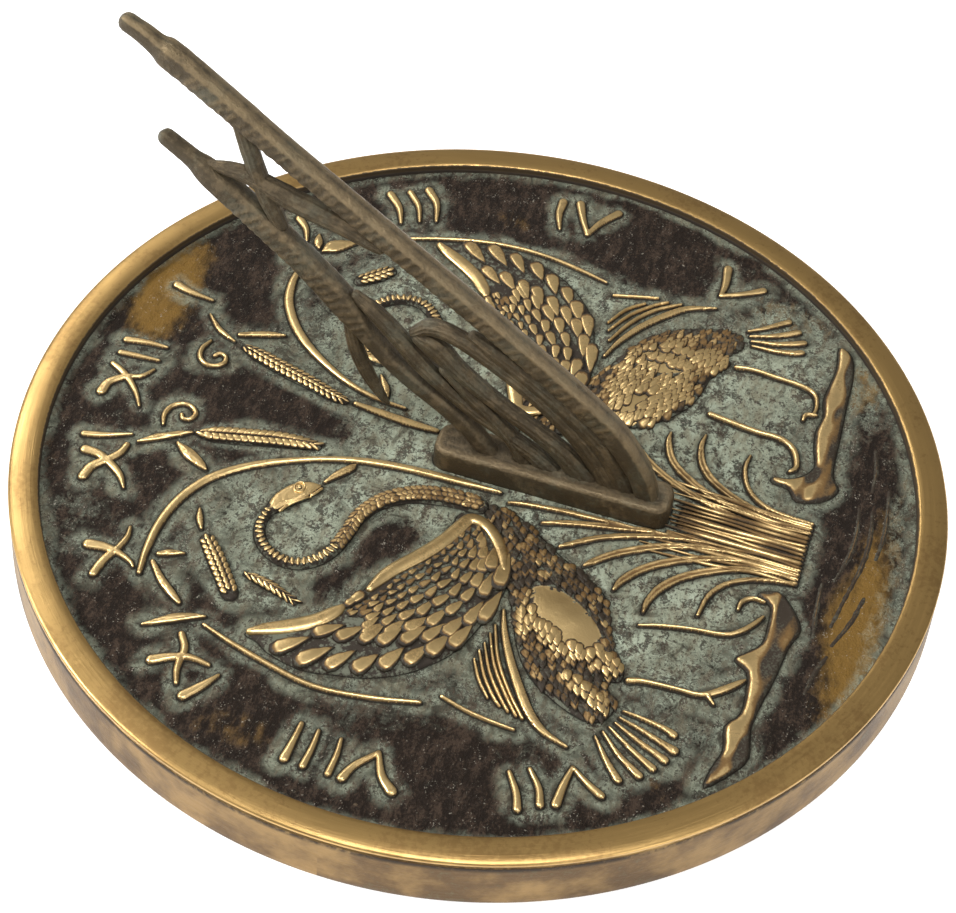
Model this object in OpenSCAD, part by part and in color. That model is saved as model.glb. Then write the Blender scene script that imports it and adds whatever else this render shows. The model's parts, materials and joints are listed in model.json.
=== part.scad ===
// Garden sundial: a round cast-brass dial with cranes and reeds in relief,
// and a separate bronze gnomon of bulrushes screwed to it from below.
// Millimetres. Origin: middle of the dial on its resting plane; +Z up,
// +Y towards twelve o'clock (north), +X towards the afternoon hours.

/* [Dial] */
// Outside diameter at the resting edge
dial_d = 254; // [210:1:310]
// Height of the rim's outer crease above the resting plane
dial_h = 15.6; // [12:0.1:24]
// How far the skirt leans in from its foot to the crease
skirt_draft = 0.6; // [0:0.1:2]
// Wall of the skirt at the resting plane
skirt_wall = 4.6; // [3:0.1:7]
// Width of the polished rim band
rim_w = 8; // [5:0.1:12]
// Rise of the band's crown above the crease
rim_crown = 1.3; // [0.4:0.1:3]
// Depth of the field below the crease
field_drop = 2.2; // [0.8:0.1:4]
// Thickness of the plate under the field
plate_t = 4; // [2.5:0.1:6]

/* [Relief] */
// Height of the hour numerals above the field
numeral_h = 1.3; // [0.6:0.1:2.4]
// Height of stems, leaves, cattails and scrolls
leaf_h = 1.5; // [0.6:0.1:2.4]
// Height of the cranes' bodies, necks and legs
crane_h = 1.9; // [0.8:0.1:3]
// Height of the wings
wing_h = 2.2; // [1:0.1:3]
// Height of the reeds, banks and plumes
reed_h = 1.6; // [0.6:0.1:2.6]
// Height of the ripples in the water
ripple_h = 0.6; // [0.3:0.1:1.2]
// Room that the relief leaves round the gnomon's foot
foot_room = 0.4; // [0.2:0.1:1]

/* [Gnomon] */
// Length of the foot bar
foot_l = 66; // [54:0.5:80]
// Width of the foot bar
foot_w = 12; // [10:0.5:16]
// Height of the foot bar
foot_h = 7.5; // [6.5:0.1:12]
// Bevel along the foot's upper edges
foot_bevel = 1.2; // [0.3:0.1:2]
// Corner radius of the foot, seen from above
foot_r = 4; // [1:0.1:4.8]
// Middle of the foot, south of the dial's centre
foot_south = 20; // [10:0.5:28]
// Thickness of the stalks
stalk_t = 6.4; // [4:0.1:9]
// Thickness of the leaves between the stalks
leaf_t = 4.8; // [2.5:0.1:6.4]
// Angle of the style's edge over the dial, which is the latitude
style_angle = 36; // [30:0.5:43]

/* [Fasteners] */
// Diameter of the gnomon screws
screw_d = 4.8; // [3.5:0.1:6]
// Distance between the gnomon screws
screw_gap = 40; // [30:1:44]
// Depth of the tapped holes in the foot
tap_depth = 6; // [4:0.1:6]
// Clearance round a screw in the plate and in its washer
screw_clear = 0.3; // [0.1:0.05:0.6]
// Room between a screw and the bore of its tapped hole
thread_room = 0.05; // [0.02:0.01:0.2]
// Height of a screw head
head_h = 2.8; // [2:0.1:4]
// Thickness of a washer
washer_t = 1; // [0.6:0.1:1.6]
// Diameter of the tapped holes that hold the dial on its pedestal
mount_d = 6.35; // [4:0.05:8]
// Depth of those holes
mount_depth = 6; // [4:0.5:7]
// Diameter of their bosses
boss_d = 16; // [12:0.5:24]
// Radius of the circle that the bosses stand on
boss_circle = 85; // [60:1:92]
// Room between a boss and the resting plane
boss_lift = 1.5; // [0.5:0.1:3]

/* [Hidden] */
$fn = 96;

dial_r = dial_d / 2;
crease_r = dial_r - skirt_draft;
field_r = crease_r - rim_w;
field_z = dial_h - field_drop;
under_z = field_z - plate_t;
crease_cut = 0.5;
draw = field_r / 118.4;       // the figures are drawn for a field of this radius
side = foot_l / 66;           // the gnomon's side view is drawn for a foot of this length
rise = side * tan(style_angle) / tan(36);  // and for this angle
curve_steps = 3;              // points per stretch of a curve
numeral_steps = 4;            // and of a numeral's
overlap = 0.02;               // how far a cutter reaches past the face it cuts
roof = 1;                     // least metal over a blind hole
tip_gap = 0.5;                // from a screw's end to the bottom of its hole
boss_z = boss_lift;
screw_y = [for (s = [-1, 1]) -foot_south + s * screw_gap / 2];
head_d = 1.9 * screw_d;
washer_d = 2.1 * screw_d;

brass = "#b98c4e";
gold = "#d7af69";
bronze = "#5a5044";
steel = "#8d8f92";

// ---- curves: a stroke is a list of [x, y, width] that a smooth line runs through ----

function spline_point(a, b, c, d, t) =
    0.5 * (2 * b + (c - a) * t + (2 * a - 5 * b + 4 * c - d) * t * t + (3 * b - a - 3 * c + d) * t * t * t);

function spline(p, n = curve_steps) = let (m = len(p) - 1) [
    for (i = [0 : m - 1]) for (k = [0 : n - 1])
        spline_point(i > 0 ? p[i - 1] : 2 * p[0] - p[1], p[i], p[i + 1],
            i < m - 1 ? p[i + 2] : 2 * p[m] - p[m - 1], k / n),
    p[m]
];

function heading(q, i) = let (m = len(q) - 1, a = q[max(i - 1, 0)], b = q[min(i + 1, m)])
    atan2(b[1] - a[1], b[0] - a[0]);

// A point beside the line: side is the angle from the line's heading
function beside(q, i, side) = let (t = heading(q, i) + side, w = max(q[i][2], 0.3) / 2)
    [q[i][0] + w * cos(t), q[i][1] + w * sin(t)];

// The stroke's outline: down its left side, round the end, back up the right side, round the start
function ribbon(q) = let (m = len(q) - 1) concat(
    [for (i = [0 : m]) beside(q, i, 90)],
    [for (t = [45, 0, -45]) beside(q, m, t)],
    [for (i = [m : -1 : 0]) beside(q, i, -90)],
    [for (t = [-135, 180, 135]) beside(q, 0, t)]
);

function flip(p) = [for (v = p) [-v[0], v[1], v[2]]];
function shift(p, d) = [for (v = p) [v[0] + d, v[1], v[2]]];
function closed_curve(p, n = 3) = let (m = len(p)) [
    for (i = [0 : m - 1]) for (k = [0 : n - 1])
        spline_point(p[(i + m - 1) % m], p[i], p[(i + 1) % m], p[(i + 2) % m], k / n)
];

module stroke(p, n = curve_steps) polygon(ribbon(spline(p, n)));
module strokes(list, n = curve_steps) for (p = list) stroke(p, n);
module blob(p) polygon(closed_curve(p));

// Raises a drawing off the field
module relief(h) translate([0, 0, field_z]) linear_extrude(h) scale(draw) children();

// The same, for a figure that runs up to the gnomon's foot
module relief_round_foot(h) translate([0, 0, field_z]) linear_extrude(h) difference() {
    scale(draw) children();
    translate([0, -foot_south]) square([foot_w + 2 * foot_room, foot_l + 2 * foot_room], center = true);
}

// ---- the drawing, for a field of radius 118.4 ----

numeral_strokes = [
    // VII
    [[-101.5, -41.5, 2.2], [-97, -39.8, 1.9], [-92, -36.5, 1.3]],
    [[-98.5, -46.3, 2.2], [-94, -44.6, 1.8], [-89.5, -41, 1.3]],
    [[-97, -49.8, 2.5], [-91, -50, 2], [-85.5, -50.7, 1.2]],
    [[-91, -59.5, 2.2], [-88.5, -55, 1.7], [-85.5, -50.7, 1.2]],
    // VIII
    [[-107, 16, 2.6], [-101, 15.7, 1.8], [-96, 15.6, 1.4]],
    [[-107.5, 11, 2.1], [-102, 10.7, 1.7], [-96.6, 10.9, 1.2]],
    [[-107.5, 4.5, 1.9], [-102, 4.4, 1.6], [-97, 4.9, 1.1]],
    [[-107.5, 1, 2.6], [-103, -0.7, 2], [-97.6, -5, 1.5]],
    [[-107, -11.6, 2.9], [-103.5, -7.8, 2.2], [-97.6, -5, 1.5]],
    // IX
    [[-98.4, 46, 3], [-94, 42.7, 2.4], [-89.6, 40, 1]],
    [[-91, 57.5, 3], [-88.6, 53.5, 2.4], [-87, 49, 2], [-87.6, 43.6, 1.4]],
    [[-95.5, 48.9, 1.2], [-91, 50.6, 1.8], [-85, 51.1, 2], [-81, 53.6, 1.9]],
    // X
    [[-71, 82.3, 2.5], [-66, 81.6, 2.4], [-61.5, 79.9, 1.9], [-57, 79, 1.6], [-53.6, 79.6, 1]],
    [[-62.6, 87.4, 3.3], [-62.1, 83, 2.8], [-62.6, 79, 2], [-64.2, 75, 1.3], [-65.6, 73.6, 0.8]],
    // XI
    [[-42, 98.5, 2.8], [-38, 97.8, 2.7], [-34.6, 95, 2.4], [-31, 92.6, 2.2], [-27.6, 92, 1.9]],
    [[-33, 101.8, 3], [-33.2, 98, 2.6], [-35, 94, 2.4], [-38, 89.6, 2], [-42, 86.6, 0.8]],
    [[-28, 104.4, 2.2], [-26.5, 99, 2], [-23.6, 92.2, 0.9]],
    // XII
    [[-12, 106.6, 3], [-8, 106, 2.6], [-4.6, 102.4, 2], [-3, 98.6, 1.6], [0.6, 96.2, 0.9]],
    [[-13.5, 94.6, 0.9], [-9, 97.6, 1.5], [-5, 101.6, 2], [-2.6, 105, 2], [-1.2, 108, 1.6]],
    [[3.4, 107.6, 2], [3.9, 102, 1.7], [4.2, 96.4, 1.2]],
    [[8.6, 108, 2.4], [9.6, 102, 1.9], [9.7, 96.2, 1.1]],
    // I and II
    [[34, 103.4, 2.8], [32.6, 98.6, 2.2], [31.6, 91.4, 1.1]],
    [[66.6, 85.6, 2.7], [63, 81.4, 2], [57.6, 77.6, 1]],
    [[73, 80.6, 2.7], [69.4, 77.2, 2], [64.6, 75.2, 1]],
    // III
    [[93, 58.8, 2.8], [88.2, 54.4, 2.2], [82, 51.7, 1]],
    [[96, 53.5, 2.2], [91, 49.2, 1.8], [84.6, 46.7, 1]],
    [[99, 48.6, 2.8], [94, 44.4, 2.2], [86.6, 42.1, 1]],
    // IV
    [[109, 8.8, 2.8], [103, 8.4, 2.2], [96.8, 6.4, 1]],
    [[110, 3.6, 2.8], [104, 1.2, 2.2], [97.6, -2, 1.6]],
    [[110, -8.4, 2.8], [104, -4.4, 2.2], [97.6, -2, 1.6]],
    // V
    [[98.6, -45.4, 2.8], [92, -46.2, 2.2], [86.6, -46, 1.4]],
    [[93.4, -57.4, 2.4], [90, -52.6, 2], [86.6, -46, 1.4]]
];

west_arc = [
    [-66.8, 71.4, 1.4], [-60, 72.6, 2], [-52, 73.1, 2.4], [-45, 72.5, 2.5], [-38, 70.6, 2.6],
    [-31, 66.8, 2.6],
    [-25.6, 61.6, 2.6], [-20.8, 55, 2.3], [-16.4, 46.6, 2], [-12.8, 38, 2], [-10.2, 28, 2.4],
    [-8.8, 16, 2.4],
    [-8.4, 4, 2.4], [-8.2, -8, 1.2]
];
east_arc = [
    [58, 72.2, 1], [50, 73, 2], [44, 72.4, 2.6], [38, 70.5, 2.8], [31, 66, 2.8], [25, 60, 2.6],
    [19.4, 52, 2.2], [15, 43.6, 1.8], [12.4, 35, 1.4], [11.6, 26, 1]
];
stem_strokes = [
    west_arc,
    east_arc,
    [[-76.4, 49.6, 1], [-79.6, 40, 1.5], [-82.7, 28, 1.6], [-84.5, 19, 1.6], [-84.4, 11, 1.6],
     [-82.6, 0, 1.6],
        [-80.2, -9.6, 1.3]],
    [[-76.6, -14, 0.9], [-78.6, -21, 1.2], [-79.6, -28, 1.1], [-80, -34, 0.8]],
    [[76, 48.4, 1], [79.6, 39, 1.4], [83, 27, 1.5], [84.4, 16, 1.5], [84, 6, 1.4], [82.2, -4, 1.4],
     [79.8, -13, 1]],
    [[75.4, -16.4, 0.9], [77.6, -24, 1.1], [79, -29, 0.8]],
    [[8.4, 39.4, 1.6], [7.6, 31, 2.4], [6.9, 22, 2.5], [6.8, 15, 1.6]]
];
leaf_strokes = [
    [[-25.6, 89.6, 1], [-22.4, 85.6, 2.4], [-19.4, 81, 2], [-17.3, 77.2, 0.8]],
    [[-22.2, 79.6, 0.9], [-24.6, 75.4, 3.4], [-27, 71, 2.6], [-28.4, 68.8, 1]],
    [[-81.8, 64, 0.8], [-77.6, 58, 2.8], [-75.2, 53.4, 2.2], [-74, 50, 0.8]],
    [[-62.2, 69.6, 1.4], [-67, 65, 2.2], [-70, 61, 2.2], [-72.2, 58, 1.4]],
    [[-59.4, 69.2, 1.4], [-58, 66.4, 2.2], [-57, 63, 1]],
    [[-47.8, 62, 0.9], [-44.6, 63.8, 1.9], [-41.6, 65, 0.9]],
    [[-21.4, 37.4, 0.8], [-17.8, 35.2, 2.2], [-14.4, 32.6, 2.4], [-12.9, 31.8, 1]],
    [[26.2, 90, 0.8], [22, 85.8, 1.7], [20, 82.4, 1.5], [18.6, 79.4, 0.8]],
    [[21.6, 79, 1.6], [23.6, 74.4, 2.2], [25, 70.4, 2], [25.8, 67, 0.9]],
    [[13.8, 32, 1], [17, 33.6, 2.2], [21, 36.4, 0.8]],
    [[62, 69.2, 0.8], [65, 67, 5], [67.6, 63.4, 3], [68.8, 61.2, 0.8]],
    [[62.8, 70.6, 0.8], [65.4, 71.8, 2.8], [68.4, 72.6, 1]]
];
cattail_strokes = [
    [[-16.9, 75.8, 1.6], [-15.9, 71.6, 4.8], [-13.9, 64, 5.2], [-11.9, 56, 5], [-10.7, 49.4, 4],
     [-10, 43.6, 1.8]],
    [[17.6, 76, 1.6], [16.2, 71, 4], [13.8, 63, 4.4], [11.4, 54, 4], [9.2, 47, 3.4], [8.2, 42.4, 1.8]],
    [[-65, 47, 4.2], [-61, 50.2, 4.4], [-55, 55.2, 4.4], [-50.4, 59.4, 3.4]],
    [[-57.6, 45.6, 1.2], [-59, 39, 2.4], [-61.8, 30.4, 1]],
    [[54.4, 54.8, 3.4], [58, 51, 4.4], [61.4, 47.8, 3.6]]
];
scroll_west = [
    [-17.4, 85.8, 0.9], [-14, 87, 1.5], [-10.6, 86.4, 1.6], [-8.6, 84, 1.5], [-8.6, 81.2, 1.5],
    [-10.6, 79.1, 1.5],
    [-13, 79.6, 1.4], [-13.6, 81.6, 1.4], [-12.2, 82.6, 1.2]
];
scroll_east = shift(flip(scroll_west), -0.8);

// The cranes: the east one is drawn from the west one, except where it differs
east_step = 1.8;
function east(p) = shift(flip(p), east_step);

neck_line = [
    [-35.6, 47.8, 2.4], [-40, 48.3, 2.6], [-44.2, 47.2, 2.8], [-48, 43.9, 3], [-50.2, 39, 3.2],
    [-49.8, 34, 3.3],
    [-46.4, 29.6, 3.4], [-41, 26.8, 3.4], [-35, 25.6, 3.4], [-29.6, 24.8, 3.6], [-24, 22, 4],
    [-20, 18.2, 4.4],
    [-17.2, 13.4, 5], [-15.4, 7.6, 5.4], [-14.6, 1.6, 5.4], [-14.6, -4, 5]
];
head_line = [[-35.8, 47.6, 2.6], [-31.4, 46, 5.2], [-27.2, 42.8, 6.2], [-24.6, 40, 4.2], [-23.4, 38, 1.4]];
wing_outline = [
    [-75.4, 38.6], [-72.6, 36], [-70.4, 31.4], [-66.4, 25.2], [-61.4, 20.6], [-54, 16], [-47.6, 13.8],
    [-42, 10.6],
    [-34, 4.6], [-26, 1], [-19.6, 0.2], [-17.8, -2.4], [-18.8, -7], [-22.6, -12], [-28.6, -16.6],
    [-35, -18.8],
    [-42, -18.6], [-50, -16.8], [-57, -15], [-63.6, -12], [-68, -8.6], [-72, -4.4], [-75.8, 1.2],
    [-78.2, 7.4],
    [-79.6, 14], [-80.8, 20], [-80.4, 25.6], [-78.6, 31.6], [-76.6, 35]
];
body_outline_west = [
    [-13.4, -8.4], [-14, -14], [-18, -21], [-23, -28.6], [-27, -36], [-30.4, -42], [-35, -45.6], [-42, -48],
    [-48, -50.6], [-52.6, -54.4], [-56.6, -54.8], [-58.2, -51.4], [-60.6, -52.6], [-63.6, -55.6],
    [-67.2, -55.2], [-70.2, -53.2], [-71.2, -49.4], [-69.4, -43.6], [-66.6, -38], [-63.6, -33.6],
    [-59.4, -29.8], [-53.6, -26.4], [-48, -24.2], [-44, -22.4], [-40, -20.4], [-30, -17], [-22, -12],
    [-17.2, -6.6]
];
body_outline_east = [
    [16, -8.4], [16.4, -14], [20, -21], [24.6, -28.4], [27.6, -35.6], [31.4, -40.8], [36, -45],
    [41.4, -48.4],
    [47, -50], [53, -51], [57.6, -53.4], [61.2, -55.2], [63.2, -52.2], [65.6, -55.2], [69, -57],
    [72.2, -55.2], [73.4, -51.4], [72.2, -46], [69.8, -40], [66.6, -34.8], [62.4, -31], [57, -27.6],
    [50, -24], [42, -20.4], [32, -17], [24, -12], [19, -6.6]
];
plumes_west = [
    [[-45.6, -20.6, 0.9], [-52, -22.8, 1.7], [-60, -26.8, 2.3], [-68, -31.8, 2.6], [-74, -36.2, 2.6],
     [-78, -41, 2],
        [-80.4, -47.6, 1]],
    [[-51, -20, 0.7], [-61, -23.9, 1], [-69.6, -29.5, 1], [-76.2, -35, 0.9]],
    [[-54, -19.6, 0.6], [-63, -23.5, 0.8], [-71, -29.1, 0.9], [-76, -33.3, 0.7]],
    [[-57.4, -19.2, 0.6], [-65.4, -23, 0.8], [-72, -27.9, 0.8], [-75.4, -31, 0.7]],
    [[-60, -18.6, 0.6], [-67.2, -22.2, 0.8], [-72.6, -26.4, 0.8], [-74.6, -28.6, 0.6]],
    [[-63, -18.2, 0.6], [-68.6, -21.2, 0.8], [-73.2, -25, 0.6]],
    // the tail's shafts with their knobbed ends
    [[-75, -53.4, 0.8], [-80, -57.2, 1.5], [-83.6, -60.4, 1.9], [-85.4, -62.2, 2.2]],
    [[-73, -54.8, 0.8], [-78, -60, 1.5], [-81, -64.4, 1.9], [-82.4, -66.6, 2.3]],
    [[-71.2, -56, 0.8], [-75.4, -62.4, 1.4], [-78, -67, 1.8], [-79.2, -69.2, 2.2]],
    [[-69.4, -57, 0.8], [-72.8, -64, 1.4], [-74.8, -69, 1.8], [-75.9, -71.4, 2.3]],
    [[-67.6, -57.6, 0.8], [-69.6, -64.6, 1.4], [-71.6, -70.4, 1.9], [-72.4, -72.8, 2.7]],
    [[-65.4, -58, 0.8], [-66, -64, 1.3], [-67, -69.4, 1.7], [-67.9, -71.6, 2.3]]
];
plumes_east = [
    [[50.6, -20.4, 0.9], [58, -23, 1.6], [66, -27.4, 2.1], [73, -33, 2.3], [78, -38.4, 2], [81, -46, 1]],
    [[57, -20, 0.7], [66, -23.8, 1.1], [73.4, -29, 1.1], [79, -36, 0.8]],
    [[61, -18.8, 0.6], [69, -22.8, 0.9], [75.4, -28.4, 0.9], [78.4, -32.2, 0.7]],
    [[64, -17.8, 0.6], [71, -21.4, 0.9], [75.4, -26, 0.7]],
    [[69.8, -59.4, 0.8], [70.2, -66, 1.5], [71.4, -71.4, 1.9], [72.4, -73.6, 2]],
    [[71.6, -58.8, 0.8], [73, -65.4, 1.6], [75.2, -71, 2], [76.4, -73.4, 2]],
    [[73.4, -58, 0.8], [75.8, -64, 1.6], [78.8, -69, 2], [80, -71, 2]],
    [[75.2, -57, 0.8], [78.4, -61.6, 1.5], [81.8, -65.6, 1.9], [83.2, -67.4, 2]]
];
legs_west = [
    [[-56, -56.8, 2], [-55, -60, 1.7], [-54.4, -68, 1.5], [-54, -75, 1.7], [-51, -79.4, 2.2],
     [-47.4, -83, 1.8],
        [-45.6, -84.6, 0.8]],
    [[-54, -77, 1.4], [-55.8, -78.8, 0.8]],
    [[-38.4, -54.6, 0.8], [-36.6, -60, 1.2], [-34.8, -68, 1.2], [-33.7, -76, 1.4], [-31, -80, 1.6],
     [-27, -83, 1.4],
        [-24.4, -84.4, 0.8]],
    [[-24.6, -77.6, 0.8], [-21.6, -78, 1.3], [-19.6, -80.4, 1.3], [-19.8, -83.6, 0.9]]
];
legs_east = [
    [[39.6, -54.4, 2], [38.8, -60, 2], [37.8, -68, 2], [37.6, -75, 2], [34.8, -79.4, 2], [29.2, -81.4, 1.6],
        [26.6, -80, 1.2]],
    [[59.8, -57, 1.4], [60.6, -62, 1.6], [60, -69, 1.6], [59.4, -76, 1.6], [57.6, -80.4, 1.6],
     [53, -82, 1.2],
        [49.2, -81.6, 1]],
    [[46.6, -79.4, 0.9], [49, -79.8, 1.5], [49.8, -82.6, 1]]
];
bank_outline_west = [
    [-80, -82.4], [-74, -82.8], [-68, -84.2], [-61, -83], [-56, -85.8], [-49, -85.6], [-43, -84.4],
    [-40.4, -80.6],
    [-37.6, -82.4], [-33, -86], [-26.6, -86.2], [-20.4, -85.4], [-18, -81.6], [-16, -83],
    [-15.2, -86.6], [-18.4, -90.4],
    [-25, -94.4], [-32, -92.6], [-43, -91.4], [-52, -89.8], [-60, -89.2], [-68, -90.6], [-74, -87.6]
];
bank_outline_east = [
    [17, -84], [20.6, -81.2], [21.4, -76.4], [23.4, -76.2], [24.2, -80.4], [26.8, -84], [31, -86.2],
    [37, -84.8],
    [44, -83.8], [50, -84.6], [56, -83.4], [61, -83.6], [70, -84.4], [78.4, -83.4], [76, -87.6],
    [68, -89.4], [55, -90],
    [40, -90.8], [30, -91.4], [24.8, -94], [19.4, -90.6]
];
// The reeds rise from one root and fan out to both sides
reeds_west = [
    [[-11, -90, 1.3], [-12.4, -83, 1.4], [-14.2, -77.6, 1.5], [-17.8, -72.4, 1.5], [-23, -69.2, 1.4],
     [-30, -68.2, 1]],
    [[-9.5, -90, 1.2], [-10, -80, 1.5], [-13, -71, 2.2], [-18, -62.8, 2.4], [-24, -57.2, 2.4],
     [-30, -54.8, 1.8],
        [-34, -54.6, 0.8]],
    [[-8, -90, 1.2], [-8, -78, 1.4], [-10.6, -67, 2], [-15, -57.6, 2.4], [-20, -51, 2.4],
     [-25.6, -46.8, 2.2],
        [-29.6, -45.4, 0.9]],
    [[-6.5, -90, 1.2], [-6.4, -75, 1.4], [-8.2, -62, 1.9], [-12, -52, 2.3], [-17, -43.8, 2.3],
     [-22, -38.2, 2],
        [-24.6, -36, 0.9]],
    [[-5, -90, 1.2], [-4.9, -72, 1.4], [-6.6, -58, 1.7], [-10.2, -46, 1.8], [-14.2, -37, 1.8],
     [-19, -30.4, 1.6],
        [-20.8, -28, 0.8]],
    [[-3.5, -90, 1.2], [-3.6, -70, 1.4], [-5.6, -56, 1.8], [-8.6, -43, 1.9], [-10.8, -33, 1.9],
     [-12.8, -26, 1.7],
        [-14.6, -21.4, 0.8]],
    [[-7.6, -47, 0.9], [-8, -38, 1.5], [-8.6, -26, 1.6], [-9.8, -16, 1.4], [-11, -11, 0.8]]
];
reeds_middle = [for (i = [0 : 5]) let (x = -2.2 + 1.28 * i) [[x, -90, 1], [1.02 * x, -72, 1.1],
    [1.12 * x, -56, 1.1]]];
reeds_east = [
    [[5.6, -90, 1.1], [5.8, -73, 1.4], [7.8, -61, 1.8], [11.6, -51, 2.1], [16, -43.6, 2.1], [21, -38, 1.9],
        [24, -35.8, 0.9]],
    [[7.1, -90, 1.1], [7.4, -76, 1.4], [9.8, -64, 2], [14, -55, 2.3], [19, -49, 2.2], [25, -46.2, 1.8],
     [29, -45.8, 0.8]],
    [[8.7, -90, 1.1], [9.2, -79, 1.4], [11.4, -69.6, 2], [15.4, -61.8, 2.3], [20.6, -57, 2.2],
     [27, -55, 1.6],
        [31.6, -55.2, 0.8]],
    [[10.4, -90, 1.2], [11, -80.4, 1.4], [13.4, -74, 1.5], [18, -70, 1.4], [24, -68.2, 1.2],
     [28.6, -68.6, 0.8]]
];
ripples = [
    [[-26, -98, 0.5], [-18, -97, 0.9], [-8, -96.6, 0.6]],
    [[-6, -99.4, 0.5], [3, -101.4, 0.9], [12, -101.8, 0.9], [21, -100.8, 0.5]],
    [[-21, -101.6, 0.5], [-10, -103.4, 0.9], [2, -105.4, 0.9], [12, -105.6, 0.9], [21, -104.4, 0.5]],
    [[-27, -103, 0.5], [-19, -106, 0.9], [-9, -108, 0.5]],
    [[5, -108.4, 0.5], [15, -109, 0.9], [30, -107.4, 0.5]],
    [[28, -103, 0.5], [36, -102.6, 0.8], [43, -101, 0.5]],
    [[-44, -99.6, 0.5], [-37, -100.6, 0.8], [-31, -102.6, 0.5]]
];

// ---- the gnomon's side view: [north of the foot's middle, height over the field, width] ----

main_stalk = [
    [-26.2, 6, 6], [-22.8, 15, 6.4], [-15.4, 25.8, 6.8], [-7.4, 33, 6.8], [2.6, 40.8, 6.6],
    [22.4, 55.4, 6.4],
    [42.7, 69.8, 6.5], [62.8, 84.2, 6.4], [77.6, 94.8, 6.4], [86, 101, 6.8], [96, 108.4, 7],
    [104.6, 114.6, 7],
    [108.2, 117, 5.2], [112, 119.6, 4.6], [116.4, 122, 4.4]
];
second_stalk = [
    [18, 6, 5], [25, 14.4, 5], [32, 20.2, 5], [40, 25.8, 5], [47.9, 32.6, 5], [53.8, 39.6, 5.6],
    [59.4, 46.8, 8],
    [65.6, 53.6, 8], [73.3, 61, 7.4], [81.3, 68, 7.4], [89.8, 75.2, 7.2], [96.6, 80.6, 6.2],
    [100.4, 83.6, 4.6],
    [104.6, 86.6, 4.2], [108.2, 89, 4]
];
gnomon_leaves = [
    // the bundle along the main stalk
    [[-20, 6, 7], [-13.4, 18.6, 7], [-5, 27.6, 6], [6, 36, 5.4], [17, 43.4, 5], [25, 48.2, 3]],
    [[-16.5, 6, 7], [-9, 17.6, 6.6], [0, 27, 5.8], [10, 35, 5.4], [20, 41.4, 5.2], [29, 46, 5],
     [36, 47.4, 4.6],
        [40.6, 44, 3.4]],
    [[-9, 6, 8], [-2, 13.6, 6.4], [6, 19.4, 5.2], [14, 24.2, 4.8], [22, 29.6, 5], [29, 35, 5.6],
     [35, 40.4, 7.4],
        [39, 42.6, 5]],
    // the crossing leaves low down
    [[8.4, 6, 5], [11.6, 13, 4.6], [18, 20.4, 4.4], [25, 26.6, 4], [32, 33.6, 3.6]],
    [[1, 6, 6], [7, 11, 5], [16, 16.4, 4], [23, 20.6, 4.4], [30, 25.8, 4.6], [38, 32.6, 5.6],
     [45, 40.4, 5.4],
        [51, 46.6, 4.6], [57, 51.4, 3]],
    [[58.6, 41, 3.4], [56.6, 32, 4], [53.4, 24, 3.8], [49.4, 17, 2.6], [47.4, 14.2, 1.2]],
    // the folded leaf that ties the two cattails together
    [[51, 70.6, 4], [61, 74.8, 6], [71, 77.6, 6.6], [80, 80.8, 6], [86, 83, 4.6], [92, 83.4, 3.6],
     [97.4, 83, 2]],
    [[77.6, 69, 4], [80.4, 76, 4.6], [83.2, 84, 4.6], [85.2, 91, 4.6], [87.2, 98.6, 4.4]]
];

// ---- the dial casting ----

module dial_plate() color(bronze) difference() {
    translate([0, 0, under_z]) cylinder(r = field_r, h = plate_t, $fn = 180);
    for (y = screw_y) translate([0, y, under_z - overlap])
        cylinder(d = screw_d + 2 * screw_clear, h = plate_t + 2 * overlap, $fn = 48);
}

// The skirt and the convex band as one ring; a fine groove runs round under the band
function band_profile(n = 12) = let (mid = crease_r - rim_w / 2, half = rim_w / 2) [
    for (i = [0 : n]) let (t = 180 * i / n) [mid + half * cos(t), dial_h + rim_crown * pow(sin(t), 0.7)]
];

module dial_rim() color(brass) rotate_extrude($fn = 180) polygon(concat(
    [[dial_r - skirt_wall, 0], [dial_r, 0], [crease_r + crease_cut / 4, dial_h - 2 * crease_cut],
        [crease_r - crease_cut, dial_h - crease_cut]],
    band_profile(),
    [[field_r, under_z], [dial_r - skirt_wall, under_z]]
));

module mounting_bosses() color(bronze) for (a = [90, 210, 330]) rotate(a) translate([boss_circle, 0,
    boss_z])
    difference() {
        cylinder(d = boss_d, h = under_z - boss_z, $fn = 64);
        translate([0, 0, -overlap]) cylinder(d = mount_d, h = min(mount_depth, under_z - boss_z - roof)
        + overlap, $fn = 48);
    }

// ---- the relief; each figure is drawn flat first, so that its neighbours can leave room for it ----

module numerals_2d() strokes(numeral_strokes, numeral_steps);
module neck_2d() {
    stroke(neck_line);
    stroke(head_line);
}
module to_east() translate([east_step, 0]) mirror([1, 0]) children();
// The bodies stop where the wings begin
module body_west_2d() difference() {
    blob(body_outline_west);
    blob(wing_outline);
}
module body_east_2d() difference() {
    blob(body_outline_east);
    to_east() blob(wing_outline);
}

module hour_numerals() color(gold) relief(numeral_h) numerals_2d();

module crane_west_neck() color(gold) relief(crane_h) neck_2d();
module crane_east_neck() color(gold) relief(crane_h) to_east() neck_2d();
module crane_west_wing() color(gold) relief(wing_h) blob(wing_outline);
module crane_east_wing() color(gold) relief(wing_h) to_east() blob(wing_outline);
module crane_west_body() color(gold) relief(crane_h) body_west_2d();
module crane_east_body() color(gold) relief(crane_h) body_east_2d();
module crane_west_plumes() color(gold) relief(reed_h) strokes(plumes_west);
module crane_east_plumes() color(gold) relief(reed_h) strokes(plumes_east);
module crane_west_legs() color(gold) relief(crane_h) strokes(legs_west);
module crane_east_legs() color(gold) relief(crane_h) strokes(legs_east);

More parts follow.
